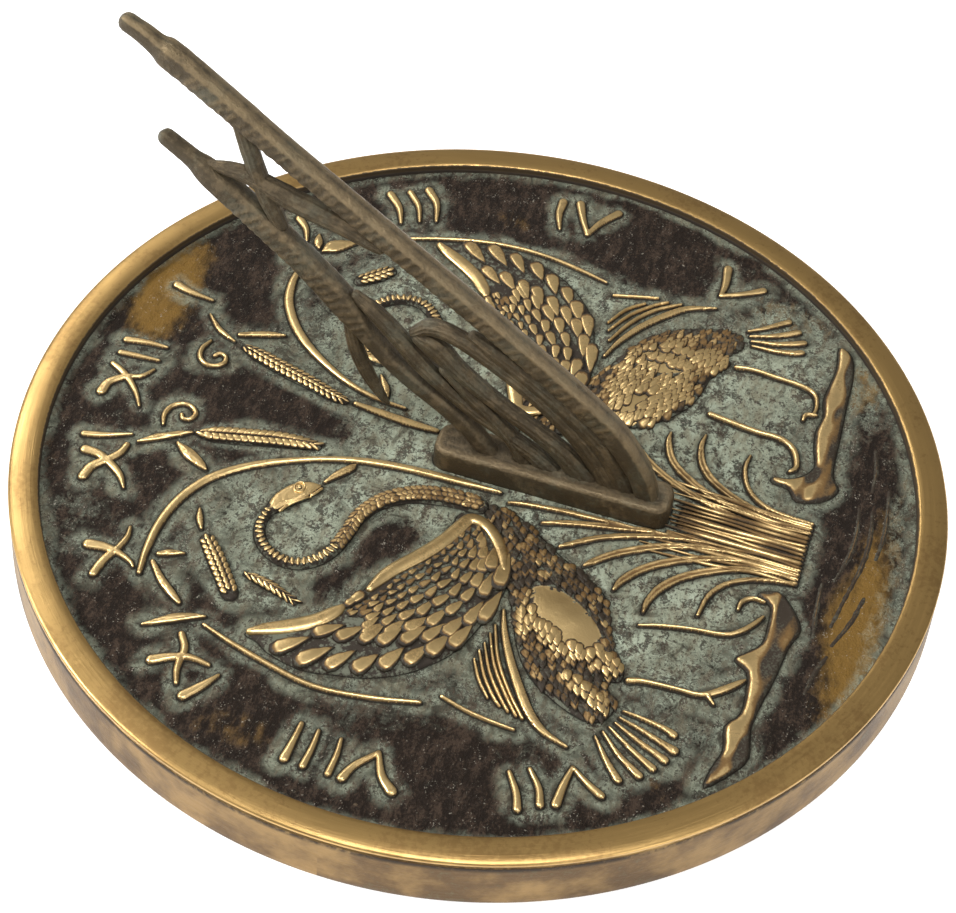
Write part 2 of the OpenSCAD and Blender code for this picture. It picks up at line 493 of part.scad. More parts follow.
module reed_fan() color(gold) relief_round_foot(reed_h) strokes(concat(reeds_west, reeds_middle,
reeds_east));
module cattails() color(gold) relief(leaf_h) strokes(cattail_strokes);
module leaves() color(gold) relief(leaf_h) strokes(leaf_strokes);
module scrolls() color(gold) relief(leaf_h) strokes([scroll_west, scroll_east]);
module arching_stems() color(gold) relief_round_foot(leaf_h) strokes(stem_strokes);
module bank_west() color(gold) relief(reed_h) blob(bank_outline_west);
module bank_east() color(gold) relief(reed_h) blob(bank_outline_east);
module water_ripples() color(bronze) relief(ripple_h) strokes(ripples);

// ---- the gnomon casting ----

// Stands a side view up in the dial's middle plane: x becomes north, y becomes height
module standing(t) translate([-t / 2, -foot_south, field_z]) rotate([90, 0, 90]) linear_extrude(t)
    scale([side, rise]) children();

module gnomon_foot() color(bronze) difference() {
    intersection() {
        translate([0, -foot_south, field_z]) linear_extrude(foot_h) foot_plan();
        translate([0, foot_l / 2 - foot_south + 1, field_z]) rotate([90, 0, 0])
        linear_extrude(foot_l + 2) polygon([
            [-foot_w / 2 - 1, 0], [foot_w / 2 + 1, 0], [foot_w / 2 + 1, foot_h - foot_bevel - 1],
            [foot_w / 2 - foot_bevel, foot_h], [-foot_w / 2 + foot_bevel, foot_h],
            [-foot_w / 2 - 1, foot_h - foot_bevel - 1]
        ]);
    }
    for (y = screw_y) translate([0, y, field_z - overlap])
        cylinder(d = screw_d + 2 * thread_room, h = min(tap_depth, foot_h - roof) + overlap, $fn = 48);
}

module foot_plan() {
    square([foot_w - 2 * foot_r, foot_l], center = true);
    square([foot_w, foot_l - 2 * foot_r], center = true);
    for (x = [-1, 1]) for (y = [-1, 1]) translate([x * (foot_w / 2 - foot_r), y * (foot_l / 2 - foot_r)])
        circle(r = foot_r, $fn = 32);
}

module gnomon_stalks() color(bronze) difference() {
    union() {
        standing(stalk_t) strokes([main_stalk, second_stalk]);
        standing(leaf_t) strokes(gnomon_leaves);
    }
    translate([-foot_w, -foot_south - foot_l, field_z - foot_h]) cube([2 * foot_w, 2 * foot_l, 2 * foot_h]);
}

// ---- fasteners under the plate ----

module gnomon_screws() color(steel) for (y = screw_y) translate([0, y, under_z - washer_t - head_h]) {
    cylinder(d = head_d, h = head_h, $fn = 48);
    cylinder(d = screw_d, h = head_h + washer_t + plate_t + min(tap_depth, foot_h - roof) - tip_gap,
    $fn = 48);
}

module gnomon_washers() color(steel) for (y = screw_y) translate([0, y, under_z - washer_t]) difference() {
    cylinder(d = washer_d, h = washer_t, $fn = 48);
    translate([0, 0, -overlap]) cylinder(d = screw_d + 2 * screw_clear, h = washer_t + 2 * overlap,
    $fn = 48);
}

dial_plate();
dial_rim();
mounting_bosses();
hour_numerals();
crane_west_body();
crane_west_neck();
crane_west_wing();
crane_west_plumes();
crane_west_legs();
crane_east_body();
crane_east_neck();
crane_east_wing();
crane_east_plumes();
crane_east_legs();
reed_fan();
cattails();
leaves();
scrolls();
arching_stems();
bank_west();
bank_east();
water_ripples();
gnomon_foot();
gnomon_stalks();
gnomon_screws();
gnomon_washers();
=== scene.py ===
import json
import math

import bpy
import numpy as np
from mathutils import Matrix, Vector, noise
from mathutils.bvhtree import BVHTree
from mathutils.geometry import delaunay_2d_cdt
from mathutils.kdtree import KDTree

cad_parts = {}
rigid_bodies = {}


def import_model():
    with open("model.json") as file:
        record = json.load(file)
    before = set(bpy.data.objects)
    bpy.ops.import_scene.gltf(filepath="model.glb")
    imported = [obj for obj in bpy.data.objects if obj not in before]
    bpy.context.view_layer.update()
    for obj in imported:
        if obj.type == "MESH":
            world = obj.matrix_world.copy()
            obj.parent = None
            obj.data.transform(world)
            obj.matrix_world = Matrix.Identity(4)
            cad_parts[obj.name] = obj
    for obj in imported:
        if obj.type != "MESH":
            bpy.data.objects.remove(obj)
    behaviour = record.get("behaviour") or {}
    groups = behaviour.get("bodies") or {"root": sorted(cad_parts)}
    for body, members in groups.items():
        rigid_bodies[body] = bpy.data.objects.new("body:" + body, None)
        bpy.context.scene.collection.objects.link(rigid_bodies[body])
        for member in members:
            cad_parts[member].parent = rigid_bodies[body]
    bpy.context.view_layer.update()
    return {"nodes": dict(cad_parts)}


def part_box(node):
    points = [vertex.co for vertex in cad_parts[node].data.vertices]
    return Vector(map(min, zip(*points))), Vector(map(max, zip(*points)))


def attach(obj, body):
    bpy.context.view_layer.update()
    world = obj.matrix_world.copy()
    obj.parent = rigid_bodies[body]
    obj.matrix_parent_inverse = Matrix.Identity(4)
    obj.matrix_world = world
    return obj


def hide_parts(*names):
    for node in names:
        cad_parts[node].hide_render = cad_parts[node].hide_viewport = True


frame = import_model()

bl_info = {
    "name": "Garden sundial",
    "version": (1, 0, 0),
    "blender": (4, 5, 0),
    "location": "View3D > Sidebar > Sundial",
    "description": "Builds the patinated castings of a garden sundial around its CAD frame",
    "category": "Object",
}

MM = 0.001
BODY = "root"


def box_mm(node):
    """The lowest and highest corners of a CAD node, in millimetres."""
    low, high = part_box(node)
    return np.array(low) / MM, np.array(high) / MM


PLATE = box_mm("dial_plate")
RIM = box_mm("dial_rim")
FOOT = box_mm("gnomon_foot")
STALKS = box_mm("gnomon_stalks")
FIELD_Z = PLATE[1][2]
UNDER_Z = PLATE[0][2]
FIELD_R = PLATE[1][0]
RIM_R = min(RIM[1][0], -RIM[0][0], RIM[1][1], -RIM[0][1])
# the drawings below are in mm, for a sundial of these sizes, and the factors fit them to the frame
DRAWN_FIELD_R, DRAWN_FOOT_LENGTH, DRAWN_GNOMON_HEIGHT = 118.4, 66, 124.1
DRAW = FIELD_R / DRAWN_FIELD_R
FOOT_LENGTH = FOOT[1][1] - FOOT[0][1]
FOOT_MIDDLE = (FOOT[1][1] + FOOT[0][1]) / 2
FOOT_HEIGHT = FOOT[1][2] - FOOT[0][2]
SIDE = FOOT_LENGTH / DRAWN_FOOT_LENGTH
RISE = (STALKS[1][2] - FIELD_Z) / DRAWN_GNOMON_HEIGHT
LOWEST = 0.25  # the height of a figure's outline over the field, in mm


# ---- the sizes and colours that a user would change ----


class SundialSettings(bpy.types.PropertyGroup):
    relief_edge: bpy.props.FloatProperty(
        name="Relief edge", description="How far in from its outline a figure reaches its height, in mm",
        default=0.75, min=0.2, max=2)
    feather_rise: bpy.props.FloatProperty(
        name="Feather rise", description="Thickness of a feather on the wings, in mm",
        default=0.8, min=0.2, max=2)
    scale_rise: bpy.props.FloatProperty(
        name="Scale rise", description="Thickness of a scale on the bodies, in mm",
        default=0.75, min=0.2, max=2)
    halo: bpy.props.FloatProperty(
        name="Halo", description="Width of the pale verdigris round each figure, in mm",
        default=1.9, min=0, max=8)
    gold: bpy.props.FloatVectorProperty(
        name="Worn brass", description="Colour of the relief where it is rubbed bright", subtype="COLOR",
        default=(0.88, 0.63, 0.29), min=0, max=1)
    rim_brass: bpy.props.FloatVectorProperty(
        name="Rim brass", description="Colour of the polished band", subtype="COLOR",
        default=(0.56, 0.36, 0.135), min=0, max=1)
    verdigris: bpy.props.FloatVectorProperty(
        name="Verdigris", description="Colour of the pale green deposit", subtype="COLOR",
        default=(0.385, 0.415, 0.305), min=0, max=1)
    brown: bpy.props.FloatVectorProperty(
        name="Brown patina", description="Colour of the dark field", subtype="COLOR",
        default=(0.030, 0.020, 0.014), min=0, max=1)
    bronze: bpy.props.FloatVectorProperty(
        name="Gnomon bronze", description="Colour of the gnomon's casting", subtype="COLOR",
        default=(0.215, 0.160, 0.090), min=0, max=1)
    light: bpy.props.FloatProperty(
        name="Light", description="Strength of the studio's soft boxes", default=1.0, min=0, max=5)


# ---- trees of nodes, with arithmetic written as Python expressions ----


class Value:
    """A socket of a node tree. Arithmetic on it adds Math nodes."""

    def __init__(self, tree, socket):
        self.tree, self.socket = tree, socket

    def math(self, operation, *others):
        """One Math node on this value and the others."""
        return self.tree.add("ShaderNodeMath", {"operation": operation}, dict(enumerate((self, *others))))

    def __add__(self, other):
        return self.math("ADD", other)

    def __sub__(self, other):
        return self.math("SUBTRACT", other)

    def __rsub__(self, other):
        return self.tree.add("ShaderNodeMath", {"operation": "SUBTRACT"}, {0: other, 1: self})

    def __mul__(self, other):
        return self.math("MULTIPLY", other)

    def __truediv__(self, other):
        return self.math("DIVIDE", other)

    def __pow__(self, other):
        return self.math("POWER", other)

    __radd__ = __add__
    __rmul__ = __mul__


class Tree:
    """A node tree with one way to add any node."""

    def __init__(self, nodes):
        self.tree = nodes

    def add(self, kind, settings=None, values=None, out=0):
        """Adds a node, sets it, fills or links its sockets, and gives one of its outputs."""
        node = self.tree.nodes.new(kind)
        for name, value in (settings or {}).items():
            setattr(node, name, value)
        for name, value in (values or {}).items():
            socket = node.inputs[name]
            if isinstance(value, Value):
                self.tree.links.new(value.socket, socket)
            elif value is not None:
                socket.default_value = value
        return Value(self, node.outputs[out])

    def attribute(self, name):
        """A number stored on the mesh."""
        return self.add("ShaderNodeAttribute", {"attribute_name": name}, out="Fac")

    def noise(self, place, scale, detail=4.0, roughness=0.55, distortion=0.0):
        """Noise of that many cells per metre, from 0 to 1."""
        return self.add("ShaderNodeTexNoise", None, {
            "Vector": place, "Scale": scale, "Detail": detail, "Roughness": roughness,
            "Distortion": distortion})

    def ease(self, value, low, high):
        """0 below low and 1 above high, with a smooth step between."""
        return self.add("ShaderNodeMapRange", {"interpolation_type": "SMOOTHSTEP"}, {
            "Value": value, "From Min": low, "From Max": high})

    def blend(self, factor, a, b):
        """A colour between a and b."""
        a, b = (v if isinstance(v, Value) else (*v, 1) for v in (a, b))
        return self.add("ShaderNodeMix", {"data_type": "RGBA"}, {0: factor, 6: a, 7: b}, out=2)

    def stretched(self, place, scale):
        """Coordinates stretched by a factor for each axis."""
        return self.add("ShaderNodeMapping", None, {"Vector": place, "Scale": scale})

    def vector(self, x, y, z):
        """A vector from its parts."""
        return self.add("ShaderNodeCombineXYZ", None, {0: x, 1: y, 2: z})

    def parts(self, vector):
        """A vector's x, y and z."""
        split = self.add("ShaderNodeSeparateXYZ", None, {0: vector})
        return [Value(self, output) for output in split.socket.node.outputs]


class Finish(Tree):
    """A material whose looks come from the place on the piece and from the numbers stored on its mesh."""

    def __init__(self, name):
        self.material = bpy.data.materials.new(name)
        self.material.use_nodes = True
        super().__init__(self.material.node_tree)
        self.tree.nodes.clear()
        self.shader = self.tree.nodes.new("ShaderNodeBsdfPrincipled")
        output = self.tree.nodes.new("ShaderNodeOutputMaterial")
        self.tree.links.new(self.shader.outputs[0], output.inputs[0])
        self.place = self.add("ShaderNodeTexCoord", out="Object")

    def set(self, **values):
        """Sets or links the shader's sockets. An underscore stands for a space."""
        for name, value in values.items():
            socket = self.shader.inputs[name.replace("_", " ")]
            if isinstance(value, Value):
                self.tree.links.new(value.socket, socket)
            else:
                socket.default_value = value

    def bump(self, height, distance):
        """A Bump node for the Normal socket, of that real height in metres."""
        self.set(Normal=self.add("ShaderNodeBump", None, {
            "Height": height, "Distance": distance, "Strength": 1.0}))


# ---- finishes ----


def tint(colour, factor):
    """A colour made darker or lighter by a factor."""
    return tuple(c * factor for c in colour)


def worn_relief(settings):
    """Brass rubbed bright on its heights, brown lower down and nearly black at its foot."""
    f = Finish("Worn brass relief")
    wear = f.attribute("wear")
    fine = f.noise(f.place, 1500.0, 5.0, 0.6)
    broad = f.noise(f.place, 150.0, 3.0)
    scratch = f.noise(f.stretched(f.place, (1.0, 0.25, 1.0)), 4200.0, 2.0)
    rubbed = wear + (fine - 0.5) * 0.22 + (broad - 0.5) * 0.50
    bronze = f.ease(rubbed, 0.16, 0.42)
    bright = f.ease(rubbed, 0.40, 0.74)
    gold = f.blend(f.ease(broad, 0.35, 0.65), tint(settings.gold, 0.74), settings.gold)
    gold = f.blend(f.ease(fine * 0.4 + broad * 0.6, 0.50, 0.66) * 0.55, gold, (0.30, 0.18, 0.075))
    green = f.ease(fine + (broad - 0.5) * 0.6, 0.50, 0.62)
    dark = f.blend(green * 0.22, (0.032, 0.023, 0.015), tint(settings.verdigris, 0.45))
    dark = f.blend(bronze, dark, (0.175, 0.102, 0.038))
    f.set(Base_Color=f.blend(bright, dark, gold), Metallic=bright * 0.55 + bronze * 0.38,
          Roughness=0.60 - bright * 0.28 + (fine - 0.5) * 0.10, Specular_IOR_Level=0.25)
    f.bump(fine * 0.45 + scratch * 0.15 + broad * 1.6, 0.00009)
    return f.material


def scaly_skin(settings):
    """The dark ground between the feathers and scales, worn to brass only in patches."""
    f = Finish("Dark skin under the scales")
    wear = f.attribute("wear")
    fine = f.noise(f.place, 900.0, 6.0, 0.65)
    broad = f.noise(f.place, 120.0, 3.0)
    pits = f.ease(f.noise(f.place, 420.0, 2.0), 0.60, 0.66) * 0.35
    bright = f.ease(wear + (fine - 0.5) * 0.35 - pits, 0.42, 0.62)
    green = f.ease(fine + (broad - 0.5) * 0.8, 0.48, 0.62)
    ground = f.blend(green * 0.60, (0.034, 0.026, 0.019), tint(settings.verdigris, 0.50))
    f.set(Base_Color=f.blend(bright, ground, tint(settings.gold, 0.9)), Metallic=bright * 0.92,
          Roughness=0.66 - bright * 0.36, Specular_IOR_Level=0.2)
    f.bump(fine, 0.00014)
    return f.material


def patina_field(settings):
    """The dark brown field, with verdigris round the figures and amber where the brown is thin."""
    f = Finish("Field patina")
    near, green_zone, amber_zone = f.attribute("near"), f.attribute("green"), f.attribute("amber")
    grain = f.noise(f.place, 1250.0, 6.0, 0.72)
    mottle = f.noise(f.place, 300.0, 6.0, 0.68, 0.35)
    blotch = f.noise(f.place, 85.0, 5.0, 0.6)
    drift = f.noise(f.stretched(f.place, (0.45, 1.0, 1.0)), 420.0, 5.0, 0.65)
    width = settings.halo + f.ease(green_zone, 0.1, 0.7) * 1.6
    halo = 1.0 - f.ease(near + (blotch - 0.5) * 11.0 + (mottle - 0.5) * 5.0 - width, -1.4, 2.4)
    patch = f.ease(green_zone + (blotch - 0.5) * 1.2 + (mottle - 0.5) * 1.9 + (grain - 0.5) * 0.9, 0.30, 0.86)
    pale = (halo * (0.34 + f.ease(mottle, 0.38, 0.58) * 0.44)).math("MAXIMUM", patch * 0.97)
    speckle = f.ease(grain * 0.5 + mottle * 0.5 + (blotch - 0.5) * 0.22, 0.500, 0.555)
    pale = pale * (1.0 - speckle * 0.84)
    crevice = 1.0 - f.ease(near + (grain - 0.5) * 0.6, 0.22, 0.62)
    shade = (1.0 - f.ease(near + (mottle - 0.5) * 3.4, 0.2, 1.5)) * 0.45
    brown = f.blend(f.ease(drift * 0.5 + grain * 0.5, 0.46, 0.60), tint(settings.brown, 0.55),
                    tint(settings.brown, 2.1))
    amber = f.ease(amber_zone + (blotch - 0.5) * 0.9 + (drift - 0.5) * 1.3 + (mottle - 0.5) * 0.7, 0.35, 1.25)
    brown = f.blend(amber * 0.90, brown, (0.240, 0.135, 0.030))
    green = f.blend(f.ease(blotch, 0.35, 0.68), tint(settings.verdigris, 0.84), (0.50, 0.56, 0.43))
    green = f.blend(f.ease(drift, 0.44, 0.64) * 0.6, green, (0.225, 0.195, 0.125))
    smudge = f.ease(f.noise(f.place, 165.0, 6.0, 0.72, 0.9), 0.50, 0.61)
    green = f.blend(smudge * 0.72, green, (0.075, 0.066, 0.046))
    colour = f.blend(pale, brown, green)
    # painted glints: small pale grey flecks on the mottled patches, kept out of the crevices
    painted_glint = f.ease(f.noise(f.place, 1900.0, 2.0), 0.60, 0.68) * f.ease(mottle, 0.50, 0.62)
    colour = f.blend(painted_glint * 0.75 * (1.0 - crevice), colour, (0.42, 0.38, 0.31))
    dark = crevice.math("MAXIMUM", shade)
    f.set(Base_Color=f.blend(dark * 0.93, colour, (0.013, 0.010, 0.007)),
          Metallic=(1.0 - pale) * 0.12, Roughness=0.50 + pale * 0.28 + (grain - 0.5) * 0.24,
          Specular_IOR_Level=0.16)
    f.bump(grain * 0.9 + mottle * 1.3 + drift * 0.6 + pale * 0.3, 0.00085)
    return f.material


def rim_brass(settings):
    """Polished brass on the band, with turning marks, and brown tarnish on the skirt and in the crease."""
    f = Finish("Rim brass")
    x, y, z = f.parts(f.place)
    radius = (x * x + y * y) ** 0.5
    angle = y.math("ARCTAN2", x)
    marks = f.noise(f.vector(radius * 2400.0, angle * 5.0, z * 2400.0), 1.0, 4.0, 0.6)
    fine = f.noise(f.place, 700.0, 5.0, 0.6)
    broad = f.noise(f.place, 38.0, 4.0, 0.6)
    stain = f.noise(f.vector(angle * 5.5, z * 55.0, radius * 12.0), 1.0, 5.0, 0.62)
    crease = RIM[1][2] * MM - 0.0018
    skirt = 1.0 - f.ease(z + (fine - 0.5) * 0.0006, crease - 0.0007, crease - 0.0001)
    inner = 1.0 - f.ease(radius + (fine - 0.5) * 0.0007, (FIELD_R + 0.05) * MM, (FIELD_R + 0.45) * MM)
    groove = skirt * f.ease(z, crease - 0.0024, crease - 0.0010)
    band = f.blend(f.ease(broad, 0.35, 0.7), settings.rim_brass, tint(settings.rim_brass, 0.84))
    band = f.blend(f.ease(fine + (broad - 0.5) * 1.3, 0.50, 0.72) * 0.5, band, (0.34, 0.20, 0.075))
    tarnish = f.blend(f.ease(stain, 0.36, 0.62), (0.30, 0.195, 0.085), (0.125, 0.078, 0.040))
    tarnish = f.blend(f.ease(stain + (fine - 0.5) * 0.5, 0.60, 0.72) * 0.5, tarnish, (0.150, 0.140, 0.085))
    colour = f.blend(skirt, band, tarnish)
    colour = f.blend(groove * f.ease(fine + broad, 0.7, 1.1) * 0.92, colour, (0.035, 0.025, 0.018))
    colour = f.blend(inner * 0.9, colour, (0.030, 0.022, 0.016))
    f.set(Base_Color=colour, Metallic=1.0 - inner * 0.7 - groove * 0.3,
          Roughness=0.34 + skirt * 0.14 + (broad - 0.5) * 0.16 + (marks - 0.5) * 0.20 + inner * 0.3)
    f.bump(marks * 0.25 + fine * 0.4 * (0.35 + skirt) + broad * 1.2 + stain * skirt, 0.00020)
    return f.material


def dark_bronze(settings):
    """The gnomon's brown bronze: lighter on its edges and heights, grey-green in its hollows."""
    f = Finish("Gnomon bronze")
    wear = f.attribute("wear")
    fine = f.noise(f.place, 900.0, 6.0, 0.68)
    broad = f.noise(f.place, 75.0, 4.0, 0.6)
    streak = f.noise(f.stretched(f.place, (1.0, 0.45, 0.45)), 420.0, 4.0, 0.6)
    high = f.ease(wear + (fine - 0.5) * 0.7 + (broad - 0.5) * 0.35, 0.16, 0.80)
    base = f.blend(high, tint(settings.bronze, 0.34), tint(settings.bronze, 1.25))
    base = f.blend(f.ease(streak, 0.50, 0.66) * 0.38, base, (0.25, 0.185, 0.105))
    green = f.ease(broad + (fine - 0.5) * 0.5, 0.48, 0.62) * (1.0 - high * 0.6)
    base = f.blend(green * 0.36, base, (0.120, 0.130, 0.098))
    f.set(Base_Color=base, Metallic=0.55 + high * 0.25, Roughness=0.50 - high * 0.12 + (fine - 0.5) * 0.24)
    f.bump(fine * 0.9 + streak * 1.1 + broad * 0.5, 0.00045)
    return f.material


def cast_underside(settings):
    """Rough sand-cast bronze, for what is seen from below."""
    f = Finish("Cast underside")
    sand = f.noise(f.place, 1300.0, 6.0, 0.7)
    broad = f.noise(f.place, 55.0, 5.0, 0.6)
    base = f.blend(f.ease(broad, 0.35, 0.65), (0.075, 0.052, 0.034), (0.17, 0.115, 0.062))
    base = f.blend(f.ease(sand + (broad - 0.5) * 0.6, 0.56, 0.68) * 0.6, base, tint(settings.verdigris, 0.7))
    f.set(Base_Color=base, Metallic=0.45, Roughness=0.62 + (sand - 0.5) * 0.25)
    f.bump(sand + broad * 1.5, 0.0005)
    return f.material


def dull_steel(settings):
    """Zinc-plated steel that has gone dull."""
    f = Finish("Dull steel")
    fine = f.noise(f.place, 1600.0, 4.0)
    broad = f.noise(f.place, 260.0, 4.0)
    base = f.blend(f.ease(broad, 0.4, 0.65), (0.40, 0.40, 0.39), (0.27, 0.255, 0.235))
    base = f.blend(f.ease(fine + (broad - 0.5), 0.62, 0.75) * 0.6, base, (0.22, 0.12, 0.06))
    f.set(Base_Color=base, Metallic=0.9, Roughness=0.40 + (broad - 0.5) * 0.3)
    f.bump(fine, 0.00006)
    return f.material


FINISHES = {"relief": worn_relief, "skin": scaly_skin, "field": patina_field, "rim": rim_brass,
            "bronze": dark_bronze, "under": cast_underside, "steel": dull_steel}
made = {}


def finish(key):
    """The material of that key, made once."""
    if key not in made:
        made[key] = FINISHES[key](bpy.context.scene.sundial)
    return made[key]


# ---- meshes ----


def smooth(low, high, value):
    """0 below low, 1 above high, and a smooth step between."""
    t = np.clip((value - low) / (high - low), 0, 1)
    return t * t * (3 - 2 * t)


def shoulder(t):
    """A quarter round: its height for each share of the way in."""
    return np.sqrt(1 - (1 - t) ** 2)


def store(mesh, name, values):
    """Stores one number for each vertex."""
    layer = mesh.attributes.new(name, "FLOAT", "POINT")
    layer.data.foreach_set("value", np.asarray(values, np.float32))


def points_of(mesh):
    """A mesh's vertices, one row for each, in millimetres."""
    co = np.empty(len(mesh.vertices) * 3)
    mesh.vertices.foreach_get("co", co)
    return co.reshape(-1, 3) / MM


def piece(name, mesh, replaced=()):
    """A finished piece that rides on the sundial and stands for those CAD nodes."""
    obj = bpy.data.objects.new(name, mesh)
    bpy.context.scene.collection.objects.link(obj)
    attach(obj, BODY)
    if replaced:
        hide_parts(*replaced)
    return obj


def mesh_of(name, verts, faces, material, attributes=None):
    """A smooth mesh from points in millimetres."""
    mesh = bpy.data.meshes.new(name)
    mesh.from_pydata((np.asarray(verts, float) * MM).tolist(), [], faces)
    mesh.materials.append(finish(material))
    mesh.polygons.foreach_set("use_smooth", [True] * len(mesh.polygons))
    for key, values in (attributes or {}).items():
        store(mesh, key, values)
    mesh.update()
    return mesh


def catmull(points, step):
    """A smooth line through the points, whatever each holds, in stretches of about that length."""
    p = np.asarray(points, float)
    p = np.vstack([2 * p[0] - p[1], p, 2 * p[-1] - p[-2]])
    out = []
    for a, b, c, d in zip(p[:-3], p[1:-2], p[2:-1], p[3:]):
        n = max(2, math.ceil(np.linalg.norm((c - b)[:2]) / step))
        t = (np.arange(n) / n)[:, None]
        square, cube = 2 * a - 5 * b + 4 * c - d, 3 * b - a - 3 * c + d
        out.append(0.5 * (2 * b + (c - a) * t + square * t**2 + cube * t**3))
    return np.vstack([*out, p[-2:-1]])


def run_along(line):
    """How far along a line each of its points is."""
    return np.r_[0, np.cumsum(np.linalg.norm(np.diff(line, axis=0), axis=1))]


def toward(turn):
    """One step in that direction, in radians from east."""
    return np.array([math.cos(turn), math.sin(turn)])


def left_of(turn):
    """One step to the left of that direction."""
    return np.array([-math.sin(turn), math.cos(turn)])


def columns(*values):
    """Columns side by side. A plain number fills its column."""
    return np.column_stack(np.broadcast_arrays(*values))


def spaced(line, gap):
    """Points evenly spaced along a line, each with its heading, as (place, heading)."""
    run = run_along(line[:, :2])
    count = max(2, int(round(run[-1] / gap)))
    at = (np.arange(count) + 0.5) * run[-1] / count

    def sample(where, wanted):
        return np.column_stack([np.interp(where, run, line[:, k]) for k in wanted])

    way = sample(at + 0.1, (0, 1)) - sample(at - 0.1, (0, 1))
    return sample(at, range(line.shape[1])), np.arctan2(way[:, 1], way[:, 0])


def nearest(points):
    """A tree that finds the nearest of those points."""
    tree = KDTree(len(points))
    for i, point in enumerate(points):
        tree.insert(point, i)
    tree.balance()
    return tree


def top_outlines(node):
    """The outlines of a node's flat top, in mm: for each figure on it, its edges' starts and their ends.

    The figure lies on the left of its edges.
    """
    mesh = frame["nodes"][node].data
    mesh.calc_loop_triangles()
    co = points_of(mesh)
    tri = np.empty(len(mesh.loop_triangles) * 3, int)
    mesh.loop_triangles.foreach_get("vertices", tri)
    tri = tri.reshape(-1, 3)
    tri = tri[(np.abs(co[tri][:, :, 2] - co[:, 2].max()) < 1e-3).all(1)]
    points, ids = np.unique(np.round(co[:, :2], 3), axis=0, return_inverse=True)
    tri = ids.reshape(-1)[tri]
    tri = tri[(tri[:, 0] != tri[:, 1]) & (tri[:, 1] != tri[:, 2]) & (tri[:, 2] != tri[:, 0])]
    owner = {}

    def root(v):
        while owner.setdefault(v, v) != v:
            owner[v] = owner[owner[v]]
            v = owner[v]
        return v

    directed = set()
    for a, b, c in tri.tolist():
        owner[root(b)] = root(a)
        owner[root(c)] = root(a)
        directed |= {(a, b), (b, c), (c, a)}
    figures = {}
    for a, b in directed:
        if (b, a) not in directed:
            figures.setdefault(root(a), []).append((a, b))
    return [(points[[a for a, _ in edges]], points[[b for _, b in edges]])
            for _, edges in sorted((min(e), e) for e in figures.values())]


def signed_distance(p, start, end, chunk=3000):
    """Each point's distance from the outline, positive inside."""
    along = end - start
    length = np.maximum((along * along).sum(1), 1e-12)
    out = np.empty(len(p))
    for i in range(0, len(p), chunk):
        q = p[i:i + chunk, None, :] - start[None]
        t = np.clip((q * along).sum(2) / length, 0, 1)
        off = q - t[..., None] * along
        gap = np.sqrt((off * off).sum(2).min(1))
        y = p[i:i + chunk, 1][:, None]
        left = along[:, 0] * q[..., 1] - along[:, 1] * q[..., 0]
        turns = ((start[:, 1] <= y) & (end[:, 1] > y) & (left > 0)).sum(1)
        turns = turns - ((start[:, 1] > y) & (end[:, 1] <= y) & (left < 0)).sum(1)
        out[i:i + chunk] = np.where(turns != 0, gap, -gap)
    return out


def subdivided(start, end, pitch):
    """An outline's points, no further than pitch apart, their outward normals, and the pairs to join."""
    points, normals, pairs = [], [], []
    for a, b in zip(start, end):
        n = max(1, math.ceil(np.linalg.norm(b - a) / pitch))
        out = np.array([b[1] - a[1], a[0] - b[0]]) / max(np.linalg.norm(b - a), 1e-9)
        for k in range(n):
            points.append(a + (b - a) * k / n)
            normals.append(out)
            pairs.append((len(points) - 1, None if k == n - 1 else len(points)))
    at = {tuple(np.round(p, 4)): i for i, p in enumerate(points)}
    ends = iter(end)
    closed = []
    for i, j in pairs:
        if j is None:
            j = at[tuple(np.round(next(ends), 4))]
        closed.append((i, j))
    return np.array(points), np.array(normals), closed


ROW_GAP = 0.866  # between the rows of a net of even triangles, for a gap of 1 along them
HEM = 0.12  # how far inside an outline its second row of points lies, in mm
FOOT_RISE, FOOT_DIP = 0.36, 0.16  # how far a figure's foot climbs, and how far under the field it ends
SINK = 0.45  # how far a figure's bottom lies under the field


